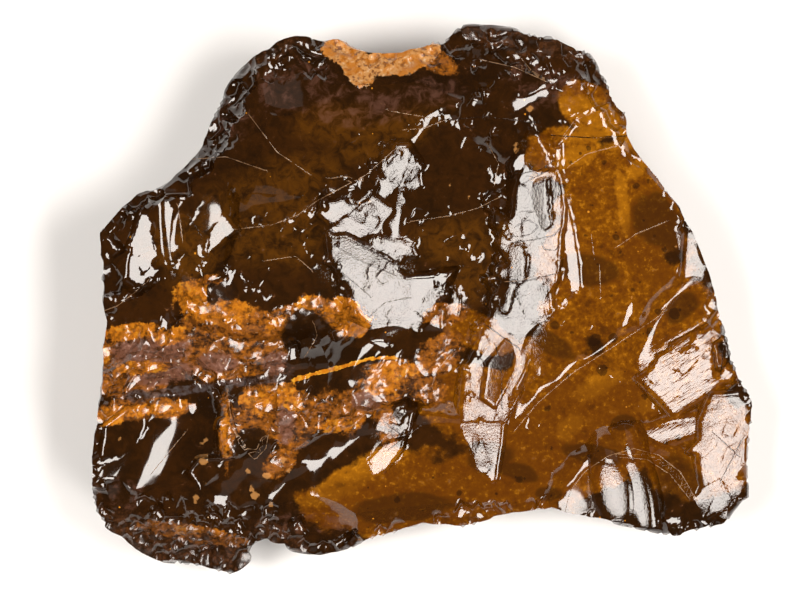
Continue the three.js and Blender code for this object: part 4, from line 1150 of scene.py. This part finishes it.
def sharp_sides(mesh, faces, labels):
    """Marks the sides between triangles of different scars as sharp."""
    count = len(mesh.vertices)
    names, place = side_numbers(faces, count)
    place, label = place.ravel(), np.repeat(labels, 3)
    low, high = np.full(len(names), 10**9), np.full(len(names), -(10**9))
    np.minimum.at(low, place, label)
    np.maximum.at(high, place, label)
    ends = np.zeros(len(mesh.edges) * 2, np.int32)
    mesh.edges.foreach_get("vertices", ends)
    ends = np.sort(ends.reshape(-1, 2).astype(np.int64), axis=1)
    order = np.searchsorted(names, ends[:, 0] * count + ends[:, 1])
    sharp = mesh.attributes.new("sharp_edge", "BOOLEAN", "EDGE")
    sharp.data.foreach_set("value", (low != high)[order])
    uses = np.bincount(place)
    print("triangles", len(faces), "sides not shared by two", int((uses != 2).sum()))


def link(made):
    bpy.context.collection.objects.link(made)
    return made


def make_stone(material):
    """The stone's one closed mesh, with the patches, specks and hairlines as point attributes."""
    points, faces, labels = stone_mesh()
    mesh = bpy.data.meshes.new("rough_opal")
    mesh.from_pydata((points * MM).tolist(), [], faces.tolist())
    mesh.polygons.foreach_set("use_smooth", np.ones(len(faces), bool))
    sharp_sides(mesh, faces, labels)
    x, y = points[:, 0], points[:, 1]
    masks = {name: patch(name, x, y) for name in PATCHES}
    masks.update({kind: specks(kind, x, y) for kind in SPECKS})
    for name, lines in HAIRLINES.items():
        masks[name + "_offset"], masks[name + "_distance"] = hairline_offsets(lines, x, y)
    for name, values in masks.items():
        layer = mesh.attributes.new(name, "FLOAT", "POINT")
        layer.data.foreach_set("value", values.astype(np.float32))
    mesh.materials.append(material)
    mesh.update()
    return link(bpy.data.objects.new("rough_opal", mesh))


# ---------------------------------------------------------------- material

class Value:
    """A shader socket that takes sums, products and so on through Math nodes."""

    def __init__(self, paint, socket):
        self.paint, self.socket = paint, socket

    def maths(self, operation, *others):
        return self.paint.maths(operation, self, *others)

    def __add__(self, other):
        return self.maths("ADD", other)

    def __sub__(self, other):
        return self.maths("SUBTRACT", other)

    def __mul__(self, other):
        return self.maths("MULTIPLY", other)

    def __rsub__(self, other):
        return self.paint.maths("SUBTRACT", other, self)

    __radd__, __rmul__ = __add__, __mul__


class Paint:
    """One material's nodes."""

    def __init__(self, name):
        self.material = bpy.data.materials.new(name)
        self.material.use_nodes = True
        self.tree = self.material.node_tree
        self.tree.nodes.clear()
        self.place = self.node("ShaderNodeTexCoord").outputs["Object"]

    def node(self, kind, settings=None, **values):
        made = self.tree.nodes.new(kind)
        for name, setting in (settings or {}).items():
            setattr(made, name, setting)
        for name, value in values.items():
            self.feed(made.inputs[name.replace("_", " ")], value)
        return made

    def feed(self, socket, value):
        if isinstance(value, Value):
            value = value.socket
        if isinstance(value, bpy.types.NodeSocket):
            self.tree.links.new(value, socket)
        else:
            socket.default_value = value

    def maths(self, operation, *values, clamp=False):
        made = self.node("ShaderNodeMath", {"operation": operation, "use_clamp": clamp})
        for socket, value in zip(made.inputs, values):
            self.feed(socket, value)
        return Value(self, made.outputs[0])

    def clamp(self, value):
        return self.maths("ADD", value, 0.0, clamp=True)

    def step(self, low, high, value):
        made = self.node("ShaderNodeMapRange", {"interpolation_type": "SMOOTHSTEP"},
                         From_Min=low, From_Max=high, Value=value)
        return Value(self, made.outputs["Result"])

    def noise(self, size, detail=3.0, rough=0.55, stretch=None, twist=0.0):
        """Noise with features about size millimetres across, 0 to 1."""
        place = self.place
        if stretch:
            turned = self.node("ShaderNodeMapping", {"vector_type": "TEXTURE"}, Vector=place,
                               Rotation=(0, 0, math.radians(stretch[0])), Scale=(stretch[1], 1, 1))
            place = turned.outputs["Vector"]
        made = self.node("ShaderNodeTexNoise", Vector=place, Scale=1 / (size * MM), Detail=detail,
                         Roughness=rough, Distortion=twist)
        return Value(self, made.outputs["Fac"])

    def dots(self, spacing, share, radius):
        """Small round dots in some of the cells of a space about spacing millimetres apart."""
        made = self.node("ShaderNodeTexVoronoi", Vector=self.place, Scale=1 / (spacing * MM))
        drawn = self.node("ShaderNodeSeparateColor", Color=made.outputs["Color"])
        here = self.step(share + 0.01, share, Value(self, drawn.outputs["Red"]))
        size = Value(self, drawn.outputs["Green"]) * 0.7 + 0.5
        return here * self.step(radius / spacing, 0.6 * radius / spacing,
                                self.maths("DIVIDE", Value(self, made.outputs["Distance"]), size))

    def hairline(self, name, width, wear):
        """A thin line along the hairlines of one kind, worn away in places."""
        offset = self.maths("ABSOLUTE", self.mask(name + "_offset"))
        worn = width * 1.6 * self.step(0.3, 0.62, wear)
        line = self.step(0.0, -0.03, offset - worn)
        return line * self.step(0.34, 0.2, self.mask(name + "_distance"))

    def mask(self, name):
        made = self.node("ShaderNodeAttribute", {"attribute_name": name})
        return Value(self, made.outputs["Fac"])

    def mix(self, first, second, share):
        made = self.node("ShaderNodeMix", {"data_type": "RGBA"})
        self.feed(made.inputs["Factor"], share)
        for name, value in (("A", first), ("B", second)):
            socket = [s for s in made.inputs if s.name == name and s.type == "RGBA"][0]
            self.feed(socket, value)
        return [s for s in made.outputs if s.type == "RGBA"][0]

    def coats(self, base, *coats):
        """Colours laid over a base one after another, each with the share of the place it covers."""
        for tint, share in coats:
            base = self.mix(base, tint, share)
        return base


STUDIO_LEVEL = 1.32   # how bright the studio makes a white surface


def colour(red, green, blue):
    """A linear colour from its screen values, 0 to 255, as lit by the studio."""
    def linear(v):
        v = v / 255
        return v / 12.92 if v <= 0.04045 else ((v + 0.055) / 1.055) ** 2.4
    return tuple(linear(v) / STUDIO_LEVEL for v in (red, green, blue)) + (1.0,)


DARK_BROWN = colour(37, 19, 3)
DEEP_BROWN = colour(57, 30, 5)
OLIVE_BROWN = colour(88, 51, 7)
DEEP_AMBER = colour(96, 50, 5)
AMBER = colour(123, 70, 4)
BRIGHT_AMBER = colour(172, 108, 14)
GOLD = colour(204, 134, 24)
RUST = colour(142, 82, 24)
ORANGE = colour(196, 116, 22)
YELLOW = colour(222, 158, 48)
# the crust's mauve, and also the grey-mauve sheen painted on the dark glass
MAUVE_AND_SHEEN = colour(116, 80, 68)
# pale mauve grains; on the crust's mauve they are painted pinkish highlights
PALE_MAUVE = colour(168, 128, 112)
RIM_BROWN = colour(84, 50, 26)
TAN = colour(214, 153, 88)
PALE_TAN = colour(232, 200, 160)
DARK_SPECK = colour(40, 20, 5)
BLUE_GREY = colour(92, 84, 84)
PALE_LINE = colour(190, 150, 112)
VEIN_ORANGE = colour(218, 142, 40)


IOR = 1.45
SEE_THROUGH = 0.15
GLOSS = 0.06          # roughness of the clean glass
DULL = 0.22           # how much rougher the crust is
GRAIN_DEPTH = 0.034   # depth of the frosted facets' and the crust's grain
CRACK_DEPTH = 0.02


class Grain:
    """The noises that break up all the stone's colours."""

    def __init__(self, paint):
        self.paint = paint
        self.wide, self.middle = paint.noise(7.0, 3), paint.noise(2.2, 5, 0.62)
        self.fine, self.cloud = paint.noise(0.45, 4, 0.65), paint.noise(1.1, 5, 0.66, twist=0.6)
        self.streaky = paint.noise(1.0, 5, 0.62, stretch=(7, 3.0), twist=0.4)
        self.clouded = self.fine * 0.5 + self.cloud * 0.5
        self.mottle = self.fine * 0.5 + self.streaky * 0.5
        self.grainy = self.fine * 0.55 + self.cloud * 0.25 + self.middle * 0.2
        self.ragged = self.cloud * 0.55 + self.fine * 0.45 - 0.5

    def patch(self, name, break_up, soft):
        """A patch with a ragged edge."""
        return self.paint.step(0.5 - soft, 0.5 + soft, self.paint.mask(name) + self.ragged * break_up)


def dark_glass(paint, grain):
    return paint.coats(
        DARK_BROWN,
        (DEEP_BROWN, paint.step(0.36, 0.64, grain.wide * 0.4 + grain.cloud * 0.6)),
        (OLIVE_BROWN, paint.mask("olive") * paint.step(0.3, 0.7, grain.cloud)))


def amber_glass(paint, grain):
    """Amber with brighter clouds and grains in it, and dark places."""
    return paint.coats(
        DEEP_AMBER,
        (AMBER, paint.step(0.38, 0.56, grain.grainy)),
        (BRIGHT_AMBER, paint.step(0.52, 0.64, grain.grainy) * 0.55),
        (BRIGHT_AMBER, grain.patch("bright", 2.6, 0.5) * 0.6),
        (GOLD, paint.mask("bright") * paint.step(0.5, 0.64, grain.clouded) * 0.5),
        (DEEP_AMBER, paint.mask("deep") * 0.6),
        (GOLD, paint.step(0.58, 0.68, grain.fine) * 0.3),
        (DEEP_BROWN, grain.patch("shade", 2.0, 0.3) * 0.7),
        (DEEP_BROWN, paint.step(0.42, 0.32, grain.middle * 0.6 + grain.cloud * 0.4) * 0.45))


def weathered_crust(paint, grain, mauve, orange):
    """Rust and brown, with orange, yellow and mauve patches, painted pinkish highlights on the mauve, and
    pale grains.
    """
    return paint.coats(
        DEEP_BROWN,
        (RUST, paint.step(0.40, 0.54, grain.mottle)),
        (ORANGE, paint.step(0.52, 0.62, grain.streaky * 0.3 + grain.fine * 0.7) * 0.6),
        (MAUVE_AND_SHEEN, mauve * (0.35 + 0.5 * paint.step(0.42, 0.54, grain.mottle))),
        # painted pinkish highlights on the crust's mauve
        (PALE_MAUVE, mauve * paint.step(0.54, 0.64, grain.mottle) * 0.7),
        (ORANGE, orange * (0.3 + 0.7 * paint.step(0.42, 0.56, grain.grainy))),
        (YELLOW, orange * paint.step(0.52, 0.64, grain.grainy) * 0.7),
        (DEEP_BROWN, paint.step(0.47, 0.37, paint.noise(0.7, 4, 0.6)) * 0.6),
        (PALE_TAN, paint.step(0.66, 0.74, paint.noise(0.3, 3, 0.6)) * 0.6))


def rim_skin(paint, grain):
    return paint.coats(
        DARK_BROWN,
        (RIM_BROWN, paint.step(0.44, 0.6, grain.clouded)),
        (PALE_MAUVE, paint.step(0.62, 0.72, grain.fine) * 0.2))


def tan_stain(paint, grain):
    return paint.coats(
        RUST,
        (TAN, paint.step(0.4, 0.5, grain.fine)),
        (PALE_TAN, paint.step(0.58, 0.68, grain.fine)),
        (ORANGE, paint.step(0.46, 0.58, grain.cloud) * 0.8),
        (BLUE_GREY, paint.step(0.46, 0.36, grain.clouded) * 0.5))


def ground_colour(paint, grain, stained):
    """The glass with its crust, rim, stain, windows and seam, and a grey-mauve sheen painted on the dark
    glass.
    """
    mauve, orange = grain.patch("mauve", 2.4, 0.3), grain.patch("orange", 2.6, 0.2)
    return paint.coats(
        dark_glass(paint, grain),
        (amber_glass(paint, grain), grain.patch("amber", 0.9, 0.3)),
        # painted sheen: grey-mauve laid over the dark glass where the mauve patches lie outside the crust
        (MAUVE_AND_SHEEN, mauve * paint.step(0.45, 0.7, grain.cloud) * 0.4),
        (weathered_crust(paint, grain, mauve, orange), paint.clamp(grain.patch("rust", 2.2, 0.24) + orange)),
        (rim_skin(paint, grain), grain.patch("rim", 2.2, 0.3) * 0.6),
        (tan_stain(paint, grain), stained),
        (DARK_BROWN, grain.patch("window", 2.6, 0.2) * 0.95),
        (paint.mix(DEEP_BROWN, BLUE_GREY, paint.step(0.4, 0.6, grain.mottle)),
         grain.patch("seam", 2.2, 0.3) * 0.8))


def speckled(paint, grain, ground, pale, dark):
    """A ground colour with the specks, dots, hairlines and the orange vein on it."""
    noisy = (grain.fine - 0.5) * 0.6
    vein = paint.hairline("vein", 0.17, 0.5 + (grain.middle - 0.5) * 0.5 + (grain.fine - 0.5) * 0.4)
    return paint.coats(
        ground,
        (DARK_SPECK, paint.step(-0.05, 0.05, paint.mask("dark_specks") + noisy) * 0.7),
        (TAN, paint.step(-0.05, 0.05, paint.mask("ochre_specks") + noisy) * 0.55),
        (DARK_SPECK, paint.dots(0.8, 0.20, 0.15) * 0.7),
        (VEIN_ORANGE, paint.dots(1.1, 0.12, 0.11) * 0.9),
        (PALE_TAN, paint.dots(1.7, 0.14, 0.07) * 0.9),
        (PALE_LINE, pale * 0.5),
        (DARK_SPECK, dark),
        (paint.mix(ORANGE, YELLOW, paint.step(0.44, 0.6, grain.fine)), vein))


def opal_material():
    paint = Paint("opal")
    grain = Grain(paint)
    stained = grain.patch("tan", 2.2, 0.1)
    pale, dark = paint.hairline("pale", 0.034, grain.fine), paint.hairline("dark", 0.045, grain.fine)
    body = speckled(paint, grain, ground_colour(paint, grain, stained), pale, dark)

    crusted = paint.clamp(stained + paint.mask("rim") * 0.5 + paint.mask("rust") * 0.4)
    combed = paint.noise(0.2, 2, stretch=(33, 11.0))
    pearl = paint.noise(0.17, 2, 0.6)
    frosted = pearl * paint.mask("frost") * 0.5 + combed * paint.mask("combed") * 0.8
    relief = paint.node("ShaderNodeBump", Strength=1.0, Distance=GRAIN_DEPTH * MM,
                        Height=frosted + crusted * paint.noise(0.3, 3) * 0.6)
    cracks = paint.node("ShaderNodeBump", Strength=1.0, Distance=CRACK_DEPTH * MM,
                        Height=1.0 - paint.clamp(dark + pale * 0.4), Normal=relief.outputs["Normal"])
    shader = paint.node("ShaderNodeBsdfPrincipled", Base_Color=body, Roughness=GLOSS + crusted * DULL,
                        IOR=IOR, Transmission_Weight=SEE_THROUGH, Normal=cracks.outputs["Normal"])
    paint.node("ShaderNodeOutputMaterial", Surface=shader.outputs["BSDF"])
    return paint.material


# ---------------------------------------------------------------- studio

CAMERA_HEIGHT = 0.9                  # above the stone's mean height, in metres like those below
MEAN_HEIGHT = 0.012
PIXELS_WIDE = 800                    # the view's width
PIXELS_A_MM = 11.5                   # at the stone
VIEW_WIDTH = PIXELS_WIDE / PIXELS_A_MM * MM
STONE_OFFSET = -22.5 / PIXELS_A_MM * MM    # the stone sits a little right of the view's middle
SENSOR_WIDTH = 36                    # millimetres
FLOOR_HALF = 1.5
FLOOR_DROP = 0.0001                  # keeps the floor just under the stone
LAMP_FAR = 0.6                       # every lamp looks at the origin from this far
LAMP_TINT = (1.0, 0.945, 0.89)
SOFTBOX_SIDE = 2 * math.tan(math.radians(10)) * LAMP_FAR
SMALL_SOFTBOX_SIDE = 2 * math.tan(math.radians(7)) * LAMP_FAR
SOFTBOX_GLOW = 22.0
SOFTBOX_TILT = 23.0
SHEEN_SIDE = 0.3                     # dim wide lamps that only show as a grey sheen on the glass
SHEEN_GLOW = 0.45

# Square lamps: name, side, glow, and how far each is turned about x and y from straight above.
LAMPS = [
    ("softbox_right", SOFTBOX_SIDE, SOFTBOX_GLOW, 0, SOFTBOX_TILT),
    ("softbox_left", SOFTBOX_SIDE, SOFTBOX_GLOW, 0, -SOFTBOX_TILT),
    ("softbox_low", SMALL_SOFTBOX_SIDE, SOFTBOX_GLOW, 27, SOFTBOX_TILT),
    ("sheen_0", SHEEN_SIDE, SHEEN_GLOW, -50, 0),
    ("sheen_1", SHEEN_SIDE, SHEEN_GLOW, 50, 8),
]


def lamps():
    for name, side, glow, turn_x, turn_y in LAMPS:
        light = bpy.data.lights.new(name, "AREA")
        light.shape = "SQUARE"
        light.size = side
        light.energy = glow * math.pi * side**2
        light.color = LAMP_TINT
        made = link(bpy.data.objects.new(name, light))
        made.rotation_euler = (math.radians(turn_x), math.radians(turn_y), 0)
        made.location = made.rotation_euler.to_matrix() @ Vector((0, 0, LAMP_FAR))


def white_floor():
    mesh = bpy.data.meshes.new("floor")
    corners = [(FLOOR_HALF * x, FLOOR_HALF * y, 0) for x, y in ((-1, -1), (1, -1), (1, 1), (-1, 1))]
    mesh.from_pydata(corners, [], [(0, 1, 2, 3)])
    floor = link(bpy.data.objects.new("floor", mesh))
    floor.location.z = -FLOOR_DROP
    paint = Paint("floor")
    shader = paint.node("ShaderNodeBsdfPrincipled", Base_Color=(0.8, 0.8, 0.8, 1), Roughness=0.9)
    paint.node("ShaderNodeOutputMaterial", Surface=shader.outputs["BSDF"])
    mesh.materials.append(paint.material)
    return floor


def camera():
    lens = bpy.data.cameras.new("camera")
    lens.sensor_width = SENSOR_WIDTH
    lens.lens = SENSOR_WIDTH * CAMERA_HEIGHT / VIEW_WIDTH
    lens.clip_end = 20
    made = link(bpy.data.objects.new("camera", lens))
    made.location = (STONE_OFFSET, 0, CAMERA_HEIGHT + MEAN_HEIGHT)
    return made


def studio():
    floor = white_floor()
    lamps()
    scene = bpy.context.scene
    scene.world = bpy.data.worlds.new("room")
    scene.world.use_nodes = True
    scene.world.node_tree.nodes["Background"].inputs["Color"].default_value = (0.05, 0.05, 0.05, 1)
    scene.camera = camera()
    scene.view_settings.view_transform = "Standard"


stone = make_stone(opal_material())
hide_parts("opal")
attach(stone, "root")
studio()
